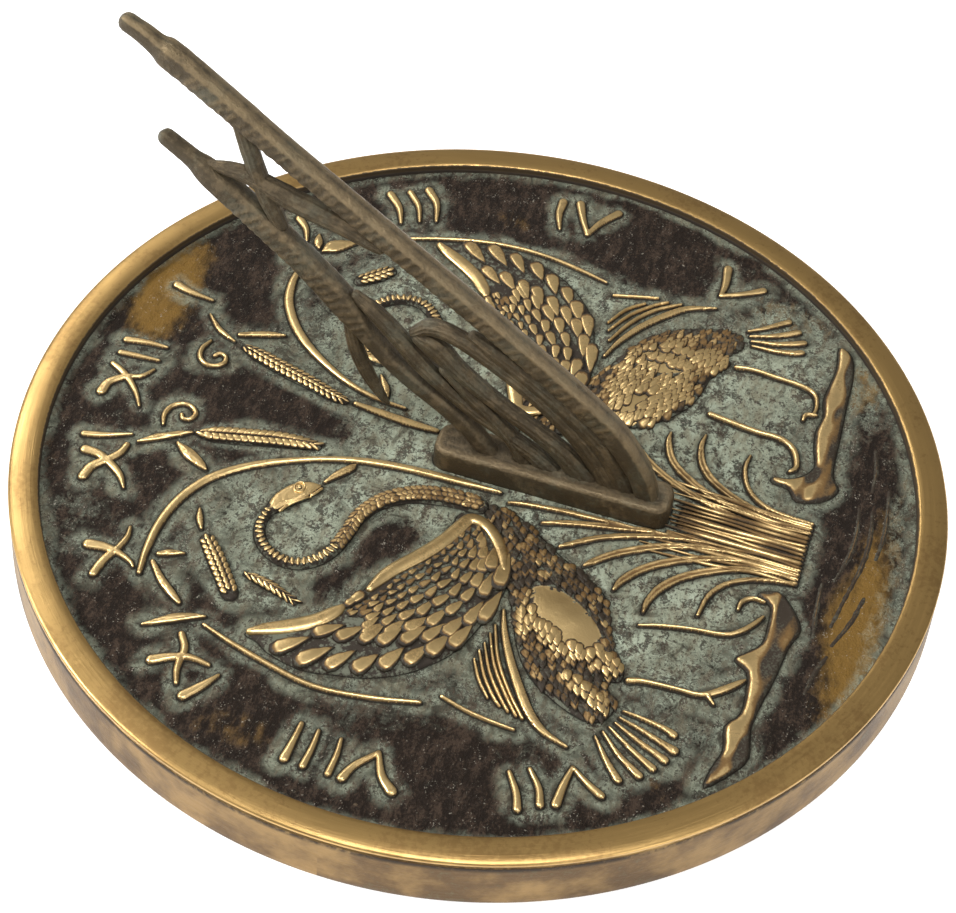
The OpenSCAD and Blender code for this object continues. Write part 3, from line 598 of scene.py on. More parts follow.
def swollen(name, nodes, shape, material, pitch=0.5, flare=0.42):
    """A mesh that stands for flat relief nodes: each outline filled with a fine net, and raised.

    shape(x, y, d, reach) gives the height and the wear at a distance d inside the outline, on a figure
    whose furthest point is that reach inside it. A narrow foot flares out round the figure.
    """
    verts, faces, wear = [], [], []
    count = 0
    for start, end in (outline for node in nodes for outline in top_outlines(node)):
        edge, out, pairs = subdivided(start, end, pitch)
        low, high = edge.min(0) - flare, edge.max(0) + flare
        gx, gy = np.meshgrid(np.arange(low[0], high[0], pitch), np.arange(low[1], high[1], pitch * ROW_GAP))
        gx[1::2] += pitch / 2
        inside = np.column_stack([gx.ravel(), gy.ravel()])
        inside = inside[signed_distance(inside, start, end) > 0.32 * pitch]
        hem = edge - out * HEM
        hem = hem[signed_distance(hem, start, end) > 0.08]
        ring = edge + out * flare
        ring = ring[signed_distance(ring, start, end) < -0.96 * flare]
        cloud = np.vstack([edge, hem, inside, ring])
        co, _, tris, *_ = delaunay_2d_cdt([Vector(p) for p in cloud], pairs, [], 0, 1e-5)
        co = np.array([tuple(v) for v in co])
        tris = np.array([t for t in tris if len(t) == 3])
        d = signed_distance(co, start, end)
        d[np.abs(d) < 1e-3] = 0
        middle = signed_distance(co[tris].mean(1), start, end)
        tris = tris[middle > -0.9 * flare]
        height, rub = shape(co[:, 0], co[:, 1], np.maximum(d, 0), d.max())
        t = np.clip(1 + d / flare, 0, 1)
        z = np.where(d > 0, height, FOOT_RISE * t * t - FOOT_DIP)
        rub = np.where(d > 0, rub, 0)
        n = len(co)
        (x0, y0), (x1, y1), (x2, y2) = (co[corner].T for corner in tris.T)
        area = (x1 - x0) * (y2 - y0) - (y1 - y0) * (x2 - x0)
        tris = np.where((area < 0)[:, None], tris[:, ::-1], tris)
        directed = {pair for a, b, c in tris.tolist() for pair in ((a, b), (b, c), (c, a))}
        walls = [(i + count, i + n + count, j + n + count, j + count)
                 for i, j in directed if (j, i) not in directed]
        verts += [np.column_stack([co, FIELD_Z + z]), np.column_stack([co, np.full(n, FIELD_Z - SINK)])]
        wear += [rub, np.zeros(n)]
        faces += (tris + count).tolist() + (tris[:, ::-1] + n + count).tolist() + sorted(walls)
        count += 2 * n
    return mesh_of(name, np.vstack(verts), faces, material, {"wear": np.concatenate(wear)})


def raised(name, nodes, shape, material="relief", slot="relief_gold", **net):
    """A swollen piece in place of those relief nodes. Gives its mesh."""
    mesh = swollen(name, nodes, shape, material, **net)
    piece(name, mesh, nodes)
    return mesh


def rounded(height, edge):
    """A strip with rounded shoulders, bright nearly to its outline."""
    def shape(x, y, d, reach):
        t = np.clip(d / min(edge, max(reach, 0.35)), 0, 1)
        return LOWEST + (height - LOWEST) * shoulder(t), smooth(0.04, 0.34, t)
    return shape


def ripple(x, y, cell, seed=0.0):
    """Soft noise from -1 to 1 over the field, of that cell size in mm."""
    return np.array([noise.noise((a / cell, b / cell, seed)) for a, b in zip(x, y)])


class Ground:
    """Meshes to set small pieces down on, in millimetres."""

    def __init__(self, *meshes):
        verts, faces = [], []
        for mesh in meshes:
            base = len(verts)
            verts += [v.co / MM for v in mesh.vertices]
            faces += [[base + i for i in p.vertices] for p in mesh.polygons]
        self.tree = BVHTree.FromPolygons(verts, faces)

    def height(self, x, y):
        """The height over the resting plane at x, y, or None off the figure."""
        hit = self.tree.ray_cast(Vector((x, y, FIELD_Z + 30)), Vector((0, 0, -1)))[0]
        return None if hit is None or hit.z < FIELD_Z + 0.2 else hit.z


# ---- what repeats, and what follows a path: Geometry Nodes ----


class Shaper(Tree):
    """A Geometry Nodes tree with named inputs."""

    def __init__(self, name, inputs):
        group = bpy.data.node_groups.new(name, "GeometryNodeTree")
        super().__init__(group)
        group.interface.new_socket("Geometry", in_out="OUTPUT", socket_type="NodeSocketGeometry")
        group.interface.new_socket("Geometry", in_out="INPUT", socket_type="NodeSocketGeometry")
        self.ids = {}
        for label, kind, default in inputs:
            socket = group.interface.new_socket(label, in_out="INPUT", socket_type="NodeSocket" + kind)
            if default is not None:
                socket.default_value = default
            self.ids[label] = socket.identifier
        self.source = group.nodes.new("NodeGroupInput")
        self.group = group

    def take(self, label):
        """One of the tree's inputs."""
        return Value(self, self.source.outputs[label])

    def named(self, name, kind="FLOAT"):
        """A number or vector stored on the geometry."""
        return self.add("GeometryNodeInputNamedAttribute", {"data_type": kind}, {"Name": name})

    def keep(self, geometry, name, value):
        """Stores a number on the geometry's points."""
        return self.add("GeometryNodeStoreNamedAttribute", {"data_type": "FLOAT", "domain": "POINT"}, {
            "Geometry": geometry, "Name": name, "Value": value})

    def end(self, geometry):
        """Shades smooth, sets the material and ends the tree."""
        geometry = self.add("GeometryNodeSetShadeSmooth", None, {"Geometry": geometry, "Shade Smooth": True})
        geometry = self.add("GeometryNodeSetMaterial", None, {
            "Geometry": geometry, "Material": self.take("Finish")})
        self.tree.links.new(geometry.socket, self.tree.nodes.new("NodeGroupOutput").inputs[0])
        return self


def scale_tree():
    """Lays one small closed scale on each point, of the point's size, the way the point is turned."""
    s = Shaper("Laid scales", [
        ("Taper", "Float", 0.5), ("Lift", "Float", 0.3), ("Belly", "Float", 0.35),
        ("Flatness", "Float", 0.7), ("Segments", "Int", 10), ("Finish", "Material", None)])
    ball = s.add("GeometryNodeMeshUVSphere", None, {
        "Segments": s.take("Segments"), "Rings": 6, "Radius": 1.0})
    x, y, z = s.parts(s.add("GeometryNodeInputPosition"))
    wide = (1.0 + s.take("Taper") * z) / (1.0 + s.take("Taper") * 0.45)
    under = y.math("LESS_THAN", 0.0)
    flat = y.math("SIGN") * y.math("ABSOLUTE") ** s.take("Flatness")
    rise = flat * (1.0 - under * (1.0 - s.take("Belly")))
    place = s.vector(z * 0.5, x * 0.5 * wide, rise + s.take("Lift") * (z + 1.0) * 0.5)
    ball = s.keep(ball, "wear", s.ease(y, 0.38, 0.82))
    ball = s.add("GeometryNodeSetPosition", None, {"Geometry": ball, "Position": place})
    laid = s.add("GeometryNodeInstanceOnPoints", None, {
        "Points": s.add("GeometryNodeMeshToPoints", None, {0: s.take("Geometry")}), "Instance": ball,
        "Rotation": s.add("FunctionNodeEulerToRotation", None, {0: s.named("turn", "FLOAT_VECTOR")}),
        "Scale": s.named("size", "FLOAT_VECTOR")})
    laid = s.add("GeometryNodeRealizeInstances", None, {0: laid})
    return s.end(s.keep(laid, "wear", s.named("wear") * s.named("gilt")))


def strand_tree():
    """Sweeps a fluted strand along each line, as thick and as flat as the line's points say."""
    s = Shaper("Swept strand", [
        ("Sides", "Int", 16), ("Flutes", "Float", 0.0), ("Flute Depth", "Float", 0.0),
        ("Roundness", "Float", 1.0), ("Across", "Vector", (0.0, 0.0, 1.0)), ("Finish", "Material", None)])
    circle = s.add("GeometryNodeCurvePrimitiveCircle", None, {"Resolution": s.take("Sides"), "Radius": 1.0})
    x, y, _ = s.parts(s.add("GeometryNodeInputPosition"))
    swell = 1.0 + (y.math("ARCTAN2", x) * s.take("Flutes")).math("COSINE") * s.take("Flute Depth")
    x, y = (v.math("SIGN") * v.math("ABSOLUTE") ** s.take("Roundness") for v in (x, y))
    circle = s.add("GeometryNodeSetPosition", None, {
        "Geometry": circle, "Position": s.vector(x * swell, y * swell, 0.0)})
    curve = s.add("GeometryNodeMeshToCurve", None, {0: s.take("Geometry")})
    swept = s.add("GeometryNodeCurveToMesh", None, {
        "Curve": curve, "Profile Curve": circle, "Scale": s.named("half"), "Fill Caps": True})
    place, across = s.add("GeometryNodeInputPosition"), s.take("Across")
    out = s.add("ShaderNodeVectorMath", {"operation": "DOT_PRODUCT"}, {0: place, 1: across}, out="Value")
    shift = (out - s.named("level")) * (s.named("squash") - 1.0)
    offset = s.add("ShaderNodeVectorMath", {"operation": "SCALE"}, {0: across, "Scale": shift})
    swept = s.add("GeometryNodeSetPosition", None, {"Geometry": swept, "Offset": offset})
    return s.end(swept)


trees = {}


def grow(source, tree, inputs, name):
    """The mesh that a tree makes from a source mesh."""
    if tree not in trees:
        trees[tree] = {"scales": scale_tree, "strand": strand_tree}[tree]()
    shaper = trees[tree]
    holder = bpy.data.objects.new(name, source)
    bpy.context.scene.collection.objects.link(holder)
    modifier = holder.modifiers.new("Grow", "NODES")
    modifier.node_group = shaper.group
    for label, value in inputs.items():
        modifier[shaper.ids[label]] = value
    bpy.context.view_layer.update()
    graph = bpy.context.evaluated_depsgraph_get()
    mesh = bpy.data.meshes.new_from_object(holder.evaluated_get(graph))
    holder.modifiers.remove(modifier)
    bpy.data.objects.remove(holder)
    mesh.name = name
    return mesh


def laid_scales(name, items, **inputs):
    """One brass piece of scales. Each item is (place, turn, size, gilt), in mm and radians, or None."""
    items = [i for i in items if i]
    source = bpy.data.meshes.new(name)
    source.from_pydata([tuple(np.array(i[0]) * MM) for i in items], [], [])
    for key, k, factor in (("turn", 1, 1.0), ("size", 2, MM)):
        values = np.array([i[k] for i in items], np.float32).ravel() * factor
        source.attributes.new(key, "FLOAT_VECTOR", "POINT").data.foreach_set("vector", values)
    store(source, "gilt", [i[3] for i in items])
    piece(name, grow(source, "scales", {"Finish": finish("relief"), **inputs}, name))


def swept_strands(name, lines, material, **inputs):
    """One mesh of strands, from lines in mm.

    A line's columns are x, y, z, half its thickness, its flattening, and the level it is flattened to.
    """
    verts, edges, rows = [], [], []
    for line in lines:
        base = len(verts)
        verts += [tuple(v) for v in line[:, :3] * MM]
        edges += [(base + i, base + i + 1) for i in range(len(line) - 1)]
        rows.append(line[:, 3:])
    source = bpy.data.meshes.new(name)
    source.from_pydata(verts, edges, [])
    rows = np.vstack(rows)
    store(source, "half", rows[:, 0] * MM)
    store(source, "squash", rows[:, 1])
    store(source, "level", rows[:, 2] * MM)
    return grow(source, "strand", {"Finish": finish(material), **inputs}, name)


def capped(line):
    """A strand's line with rounded ends: more points beyond each end, where its thickness runs out."""
    def cap(end, inner):
        way = end[:3] - inner[:3]
        way = way / max(np.linalg.norm(way), 1e-9)
        rows = []
        for t in (0.5, 0.8, 0.95, 1.0):
            row = end.copy()
            row[:3] = end[:3] + way * end[3] * t
            row[3] = end[3] * max(math.sqrt(1 - t * t), 0.04)
            rows.append(row)
        return rows
    return np.vstack([cap(line[0], line[1])[::-1], line, cap(line[-1], line[-2])])


def polished(name, lines, sides):
    """One piece of strands that are bright all over."""
    mesh = swept_strands(name, lines, "relief", Sides=sides)
    store(mesh, "wear", np.ones(len(mesh.vertices)))
    piece(name, mesh)


# ---- the cranes' drawing, in mm; the east crane is the west one turned over ----

EAST_STEP = 1.8
NECK = [
    (-35.6, 47.8, 2.4), (-40, 48.3, 2.6), (-44.2, 47.2, 2.8), (-48, 43.9, 3), (-50.2, 39, 3.2),
    (-49.8, 34, 3.3), (-46.4, 29.6, 3.4), (-41, 26.8, 3.4), (-35, 25.6, 3.4), (-29.6, 24.8, 3.6),
    (-24, 22, 4), (-20, 18.2, 4.4), (-17.2, 13.4, 5), (-15.4, 7.6, 5.4), (-14.6, 1.6, 5.4),
    (-14.6, -4, 5)]
EYE = (-26.2, 42.7)
JAW = [(-35, 44.9), (-32.4, 43.6), (-29.2, 40.8), (-26.4, 38.6), (-24, 37.3)]
# each feather runs from its broad free end to its point
FEATHERS_OUTER = [
    ((-79, 31), (-73, 24)), ((-80.5, 24), (-74, 17.5)), ((-79.5, 16.5), (-73, 11.5)),
    ((-78, 9.5), (-72, 5.5)), ((-75, 3.4), (-68, 0)), ((-71.5, -2), (-65, -5.5)),
    ((-67, -6.5), (-60, -9.5)), ((-63, -11), (-55, -14)), ((-52.5, -15.8), (-42.5, -18)),
    ((-41, -17), (-30, -16.6))]
FEATHERS_SECOND = [
    ((-70.8, 23), (-66, 17)), ((-70.4, 17), (-65, 12)), ((-69.3, 10.7), (-63, 7)),
    ((-68.2, 6.2), (-62, 2.5)), ((-66, 1), (-59.5, -3)), ((-63.5, -4), (-57, -7.5)),
    ((-60, -8.5), (-53, -11.5)), ((-55, -12.6), (-47, -14.6)), ((-45, -14), (-37, -14.5)),
    ((-36, -13.6), (-29, -12.5))]
# the line of the second row's middles, and the leading edge; the inner rows lie between them
TRAILING_LINE = [
    (-69, 21), (-67.4, 14), (-66, 8), (-63.4, 0), (-60, -6), (-56, -10), (-50, -13.2), (-41, -14),
    (-31, -12.4)]
INNER_LINE = [
    (-67, 23), (-60, 17), (-52, 12), (-45, 9), (-38, 4.6), (-31, 0.4), (-25, -2), (-21.6, -4.4),
    (-22.6, -8)]
INNER_ROWS = [  # how far from the trailing line to the leading edge; length, width and spacing in mm
    (0.20, 8.2, 4.4, 5.7), (0.38, 7.2, 3.8, 5.0), (0.54, 5.8, 3.2, 4.3), (0.68, 4.6, 2.7, 3.6),
    (0.80, 3.8, 2.3, 3.0), (0.91, 3.2, 2.0, 2.6)]
LEADING_EDGE = [
    (-74.8, 37.6, 2), (-72.6, 34, 3.6), (-70, 29.2, 4.2), (-65.8, 23.2, 4.2), (-61.6, 19.6, 3.6),
    (-59.6, 18.4, 2)]
SHOULDER_FEATHER = ((-59.6, 18.1), (-53, 14.4))  # pointed at neither end
SHOULDER_BAND = [
    (-51.6, 13.8, 2), (-47, 12, 3.6), (-43, 9.8, 4), (-37, 5.4, 4.2), (-30, 1, 4.2), (-24, -1.6, 4),
    (-20.6, -3.2, 3.6), (-20.2, -6, 3.4), (-21.6, -9, 3.2), (-24.8, -12.2, 3.2), (-29, -15, 3),
    (-33.6, -16.8, 2)]
CATTAILS = [
    # line, and how many strips of grains lie side by side along it
    ([(-16.9, 75.8, 1.6), (-15.9, 71.6, 4.8), (-13.9, 64, 5.2), (-11.9, 56, 5), (-10.7, 49.4, 4),
      (-10, 43.6, 1.8)], 2),
    ([(17.6, 76, 1.6), (16.2, 71, 4), (13.8, 63, 4.4), (11.4, 54, 4), (9.2, 47, 3.4), (8.2, 42.4, 1.8)], 3),
    ([(-65, 47, 4.2), (-61, 50.2, 4.4), (-55, 55.2, 4.4), (-50.4, 59.4, 3.4)], 3),
    ([(-57.6, 45.6, 1.2), (-59, 39, 2.4), (-61.8, 30.4, 1)], 2),
    ([(54.4, 54.8, 3.4), (58, 51, 4.4), (61.4, 47.8, 3.6)], 3)]


def drawn(point, east):
    """A point of the west crane's drawing, on the dial, on the east side if asked."""
    x = EAST_STEP - point[0] if east else point[0]
    return (x * DRAW, point[1] * DRAW, *[v * DRAW for v in point[2:]])


def lay(ground, foot, tip, width, rise, gilt=1.0, sink=0.15):
    """One scale between two points on the ground, its free end at tip. None where there is no ground."""
    foot, tip = np.array(foot), np.array(tip)
    turn = math.atan2(tip[1] - foot[1], tip[0] - foot[0])
    length = math.hypot(tip[0] - foot[0], tip[1] - foot[1])
    middle, side = (foot + tip) / 2, left_of(turn) * width / 2.6
    at = [ground.height(*p) for p in (
        middle, foot * 0.7 + tip * 0.3, foot * 0.3 + tip * 0.7, middle + side, middle - side)]
    if at[0] is None:
        return None
    at = [at[0] if z is None else z for z in at]
    pitch = math.atan2(at[2] - at[1], length * 0.4)
    roll = math.atan2(at[3] - at[4], width / 1.3)
    return ((*middle, at[0] - sink), (roll, -pitch, turn), (length, width, rise), gilt)


def wing_base(x, y, d, reach):
    """The wing's low mound, under its feathers."""
    return 0.3 + 0.55 * shoulder(np.clip(d / 1.1, 0, 1)) + 0.7 * (1 - np.exp(-d / 5.0)), np.zeros_like(d)


def wing(side, east, settings):
    """A wing: its dark mound, the polished leading edge, and the rows of feathers."""
    ground = Ground(raised(f"{side}_wing_ground", [f"crane_{side}_wing"], wing_base, "skin", pitch=0.8))
    rise = settings.feather_rise
    items = []

    def feather(tip, foot, width, lift, gilt=1.0):
        items.append(lay(ground, drawn(foot, east), drawn(tip, east), width * DRAW, rise * lift, gilt))

    for pairs, width, lift in ((FEATHERS_OUTER, 5.6, 1.2), (FEATHERS_SECOND, 5.0, 1.05)):
        for k, (tip, foot) in enumerate(pairs):
            foot = (tip[0] + (foot[0] - tip[0]) * 1.3, tip[1] + (foot[1] - tip[1]) * 1.3)
            feather(tip, foot, width * (1 + 0.06 * math.sin(k * 2.3)), lift)
    upper, lower = SHOULDER_FEATHER
    feather(lower, upper, 4.2, 1.2)
    feather(upper, lower, 3.0, 1.2)
    outer, _ = spaced(catmull(TRAILING_LINE, 1.0), 1.0)
    inner, _ = spaced(catmull(INNER_LINE, 1.0), 1.0)
    share = np.linspace(0, 1, 40)
    outer, inner = ([np.interp(share, np.linspace(0, 1, len(p)), p[:, k]) for k in (0, 1)]
                    for p in (outer, inner))
    lean = [math.atan2(f[1] - t[1], f[0] - t[0]) for t, f in FEATHERS_SECOND]
    before = 0.0
    for r, (part, length, width, gap) in enumerate(INNER_ROWS):
        line = np.column_stack([outer[k] * (1 - part) + inner[k] * part for k in (0, 1)])
        room = np.hypot(outer[0] - inner[0], outer[1] - inner[1]) * (part - before)
        before = part
        run = run_along(line)
        for k, at in enumerate(np.arange(gap * (0.6 if r % 2 else 0.3), run[-1], gap)):
            where = at / run[-1]
            if np.interp(where, share, room) < 0.5 * width:
                continue
            c = np.array([np.interp(at, run, line[:, j]) for j in (0, 1)])
            turn = np.interp(where, np.linspace(0, 1, len(lean)), lean)
            turn += (0.10 + 0.05 * r) * math.sin(k * 2.7 + r)
            way = toward(turn) * length / 2
            size = 1 + 0.10 * math.sin(k * 5.1 + r * 1.7)
            feather(c - way * size, c + way * size, width * size, 0.95 - 0.05 * r,
                    1.0 - 0.10 * r + (0.22 * math.sin(k * 3.7 + r * 2.1) if r > 1 else 0))
    laid_scales(f"{side}_wing_feathers", items, Taper=0.8, Lift=0.45, Belly=0.6, Flatness=0.4, Segments=12)

    lines = []
    for line in (LEADING_EDGE, SHOULDER_BAND):
        path = catmull([drawn(p, east) for p in line], 0.8)
        level = np.array([(ground.height(x, y) or FIELD_Z + 1.0) + 0.25 for x, y in path[:, :2]])
        level = np.convolve(np.pad(level, 4, mode="edge"), np.ones(9) / 9, mode="valid")
        half = path[:, 2] / 2
        lines.append(capped(columns(path[:, 0], path[:, 1], level, half, 0.9 / np.maximum(half, 0.6), level)))
    polished(f"{side}_wing_edge", lines, 16)


# middle x, y, half length, half width and heading in degrees of spots on the bodies
SMOOTH_SPOTS = {
    "west": [(-43.6, -36.4, 12.5, 6.0, 57)],
    "east": [(33, -33.4, 7.4, 4.4, -20), (54.2, -37, 8, 5.4, -75)]}
GILT_SPOTS = {
    "west": [(-47.2, -37, 12, 6.6, 66), (-52.6, -49, 6.5, 2.6, 62), (-64, -48, 8, 1.9, 62),
             (-47, -27, 6, 1.6, 10)],
    "east": [(44, -36, 19, 10, -12), (59, -50, 6, 4, -80)]}


def spot(table, x, y, edge=0.3):
    """1 inside the table's spots and 0 outside, at x, y."""
    out = np.zeros(np.shape(x))
    for cx, cy, a, b, heading in table:
        h = math.radians(heading)
        u = ((x / DRAW - cx) * math.cos(h) + (y / DRAW - cy) * math.sin(h)) / a
        v = (-(x / DRAW - cx) * math.sin(h) + (y / DRAW - cy) * math.cos(h)) / b
        out = np.maximum(out, smooth(1 + edge, 1 - edge, np.sqrt(u * u + v * v)))
    return out


def body(side, east, settings):
    """A crane's body: a mound with worn patches, and scales all over the rest."""
    def shape(x, y, d, reach):
        height = 0.3 + 0.35 * shoulder(np.clip(d / 1.2, 0, 1))
        bulge = 1 - np.exp(-d / 4.5)
        height = height + 0.75 * bulge + 0.4 * spot(GILT_SPOTS[side], x, y, 0.5) * bulge
        height = height + 0.9 * spot(smooth_spots, x, y, 0.95)
        return height + 0.12 * ripple(x, y, 5.0, 3.0), spot(smooth_spots, x, y, 0.25)

    smooth_spots = SMOOTH_SPOTS[side]
    ground = Ground(raised(f"{side}_body_ground", [f"crane_{side}_body"], shape, "skin", pitch=0.6))
    way = np.array([1.0 if east else -1.0, -0.42])
    way /= np.linalg.norm(way)
    across = np.array([-way[1], way[0]])
    middle = np.array(drawn((-42, -32), east))
    items = []
    for i in range(-24, 25):
        for j in range(-34, 35):
            p = middle + way * (i + (0.5 if j % 2 else 0.0)) * 2.7 + across * j * 1.3
            p = p + np.array([noise.noise((i * 0.9, j * 0.9, seed)) for seed in (3.1, 7.7)]) * 1.5
            worn, ahead = (float(spot(smooth_spots, *q, 0.25)) for q in (p, p + way * 1.6))
            if max(worn, ahead) > 0.5 and (not east or noise.noise((i * 1.3, j * 1.7, 2.2)) < 0.12):
                continue
            gilt = float(spot(GILT_SPOTS[side], *p, 0.35))
            bright = min(1.0, 0.36 + 0.75 * gilt + 0.7 * noise.noise((p[0] / 2.4, p[1] / 2.4, 1.0)))
            lean = way + across * 0.25 * noise.noise((p[0] / 4, p[1] / 4, 4.0))
            size = 1.0 + 0.25 * gilt
            item = lay(ground, p - lean * 2.2 * size, p + lean * 2.0 * size, 1.45 * size,
                       settings.scale_rise * (0.62 + 0.38 * gilt) * (1 - 0.45 * worn), bright, 0.1)
            if item and item[0][2] > FIELD_Z + 0.5:
                items.append(item)
    laid_scales(f"{side}_body_scales", items, Taper=-0.8, Lift=1.1, Belly=0.8, Flatness=0.55, Segments=8)


def neck(side, east, settings):
    """A crane's neck and head: ribs across the neck that turn to scales lower down, and the eye."""
    eye = np.array(drawn(EYE, east))

    def shape(x, y, d, reach):
        t = np.clip(d / 1.3, 0, 1)
        head = smooth(9.5, 7.0, np.hypot((x - eye[0]) * 0.8, y - eye[1]))
        wear = np.maximum(head * smooth(0.05, 0.3, t), smooth(0.25, 0.8, t) * 0.52)
        return 0.28 + (1.25 + 0.25 * head) * shoulder(t), wear

    ground = Ground(raised(f"{side}_neck_ground", [f"crane_{side}_neck"], shape, "skin", pitch=0.45))
    line = catmull([drawn(p, east) for p in NECK], 0.6)
    place, heading = spaced(line, 1.55)
    ribs, scales = [], []  # ribs on the upper part, scales on the lower, and both for a stretch between
    for k, (p, h) in enumerate(zip(place, heading)):
        share = k / len(place)
        way, side_way = toward(h), left_of(h)
        if share < 0.60:
            half = p[2] * 0.47
            tilt = side_way + way * 0.25 * math.sin(k * 1.7)
            ribs.append(lay(ground, p[:2] - tilt * half, p[:2] + tilt * half, 1.25, 0.62, 0.95, 0.12))
        if share > 0.42:
            for j in (-1, 0, 1):
                stray = noise.noise((k * 0.83, j * 1.7, 5.0))
                q = p[:2] + side_way * p[2] * (0.29 * j) + way * ((0.75 if j == 0 else 0) + stray)
                lean = way + side_way * (0.5 * stray - 0.35 * j)
                scales.append(lay(ground, q + lean * 1.4, q - lean * 1.4, 1.7 + 0.5 * stray, 0.55,
                                  0.85 - 0.3 * share + 0.4 * stray, 0.08))
    laid_scales(f"{side}_neck_ribs", ribs, Taper=0.0, Lift=0.0, Belly=0.7, Segments=10)
    laid_scales(f"{side}_neck_scales", scales, Taper=-0.4, Lift=0.8, Belly=0.8, Segments=8)

    turns = np.linspace(0, 2 * math.pi, 25)
    top = ground.height(*eye)
    ring = columns(eye[0] + 1.75 * np.cos(turns), eye[1] + 1.35 * np.sin(turns), top + 0.05, 0.28, 1.0, top)
    jaw = catmull([drawn(p, east) for p in JAW], 0.5)
    level = np.array([(ground.height(x, y) or FIELD_Z + 0.9) for x, y in jaw])
    jaw = columns(jaw[:, 0], jaw[:, 1], level, 0.42, 0.8, level)
    polished(f"{side}_eye_ring", [ring, capped(jaw)], 10)
    bead = ((*eye, top - 0.05), (0, 0, 0.4), (1.7, 1.3, 0.5), 1.0)
    laid_scales(f"{side}_eye", [bead], Taper=0.0, Lift=0.0, Belly=1.0, Segments=12)


def grained(ground, line, strips):
    """Grains laid along a cattail like a plait, in that many strips."""
    path = catmull([drawn(p, False) for p in line], 0.6)
    place, heading = spaced(path, 1.9)
    items = []
    for k, (p, h) in enumerate(zip(place, heading)):
        for j in range(strips):
            share = (j + 0.5) / strips - 0.5
            side = 1 if share >= 0 else -1
            turn = h + side * 0.42 * (1 if share else 0)
            q = p[:2] + left_of(h) * p[2] * share * 0.95 + toward(h) * (0.95 if j % 2 else 0.0)
            way = toward(turn) * (2.0 if strips == 2 else 1.4)
            width = min(2.6, p[2] / strips * 1.2)
            items.append(lay(ground, q - way, q + way, width, 0.62, 1.0, 0.05))
    return items


# ---- operators: one for each piece or group of like pieces ----


class Builder:
    """What the operators share."""

    bl_options = {"REGISTER", "UNDO"}

    def execute(self, context):
        self.build(context.scene.sundial)
        return {"FINISHED"}


class SUNDIAL_OT_rim(Builder, bpy.types.Operator):
    """Turns the skirt and the polished band"""

    bl_idname = "sundial.rim"
    bl_label = "Rim"

    def build(self, settings):
        crown = 1.3
        crease = RIM[1][2] - crown
        outer, inner = RIM_R - 0.6, FIELD_R
        mid, half = (outer + inner) / 2, (outer - inner) / 2
        foot = RIM_R - 4.6
        profile = [(foot, 0.25), (foot + 0.3, 0), (RIM_R - 0.5, 0), (RIM_R - 0.15, 0.12), (RIM_R, 0.5)]
        # the skirt leans in a little, then come the crease, the crown and the wall down to the plate
        profile += [(RIM_R - 0.6 * t, 0.5 + t * (crease - 1.7)) for t in np.linspace(0.1, 1, 10)]
        profile += [(outer - 0.16, crease - 0.95), (outer - 0.5, crease - 0.72), (outer - 0.62, crease - 0.5),
                    (outer - 0.5, crease - 0.28), (outer - 0.12, crease - 0.12)]
        for t in np.linspace(0, math.pi, 33):
            rise = 0.86 * max(math.sin(t), 0) ** 0.42 + 0.14 * math.sin(t)
            profile.append((mid + half * math.cos(t), crease + crown * rise))
        profile += [(inner, crease - 0.3), (inner - 0.05, FIELD_Z - 0.2), (inner, UNDER_Z),
                    (inner + 0.4, UNDER_Z - 0.3), (foot - 0.3, UNDER_Z - 0.4), (foot, UNDER_Z - 0.9)]
        steps = 360
        rows = np.array(profile)
        turn = np.arange(steps) * 2 * math.pi / steps
        verts = np.array([[r * math.cos(a), r * math.sin(a), z] for a in turn for r, z in rows])
        n = len(rows)
        faces = []
        for i in range(steps):
            here, there = i * n, ((i + 1) % steps) * n
            faces += [(here + j, there + j, there + (j + 1) % n, here + (j + 1) % n) for j in range(n)]
        piece("rim_band", mesh_of("rim_band", verts, faces, "rim"), ["dial_rim"])


GREEN_ZONES = [  # middle, half sizes, amount
    (0, 0, 118, 118, 0.16), (0, -14, 74, 66, 0.75), (0, -62, 62, 22, 0.5), (-40, 45, 34, 24, 0.4),
    (44, 40, 34, 28, 0.4), (0, -113, 80, 6, 0.4), (70, -70, 22, 20, 0.5), (-70, -78, 16, 18, 0.2),
    (74, -8, 10, 20, 0.35), (-2, 62, 7, 22, -1.2), (-20, 58, 6, 12, -0.4), (42, 92, 15, 14, -0.9),
    (98, 20, 13, 26, -0.25), (98, -22, 16, 22, -0.2), (-100, -22, 15, 18, -0.2), (-82, 74, 14, 12, -0.5),
    (-76, 54, 9, 10, -0.4), (-96, 44, 14, 14, -0.4), (-36, 14, 10, 9, -0.9), (0, -102, 44, 8, -0.6),
    (-49, 26, 8, 6, -0.6), (48, -101, 34, 10, 0.34), (-58, 97, 20, 9, 0.32), (-62, -50, 9, 12, -0.4),
    (-72, -66, 10, 10, -0.25), (-24, 33, 10, 5, -0.3), (-88, -60, 12, 12, -0.3)]
AMBER_ZONES = [
    (28, 105, 19, 10, 1.15), (96, 21, 5, 7, 0.5), (-102, 30, 7, 11, 0.5), (-22, -107, 32, 8, 0.85),
    (48, 104, 12, 7, 0.5), (-80, -75, 10, 12, 0.35), (10, 24, 5, 14, 0.45), (66, -92, 12, 8, 0.8),
    (-30, 108, 14, 6, 0.3), (84, -66, 10, 16, 0.5), (-2, -110, 60, 6, 0.4)]


def zone(table, x, y):
    """The sum of soft elliptical spots at x, y, in mm."""
    out = np.zeros_like(x)
    for cx, cy, rx, ry, amount in table:
        far = ((x / DRAW - cx) / rx) ** 2 + ((y / DRAW - cy) / ry) ** 2
        out += amount * np.exp(-np.maximum(far - 0.35, 0) * 1.3)
    return out


FIGURES = ("hour", "crane", "reed", "cattails", "leaves", "scrolls", "arching", "bank")
CLOSE_TO = sorted(n for n in frame["nodes"] if n.startswith(FIGURES)) + ["gnomon_foot"]
FIELD_CELLS = 560


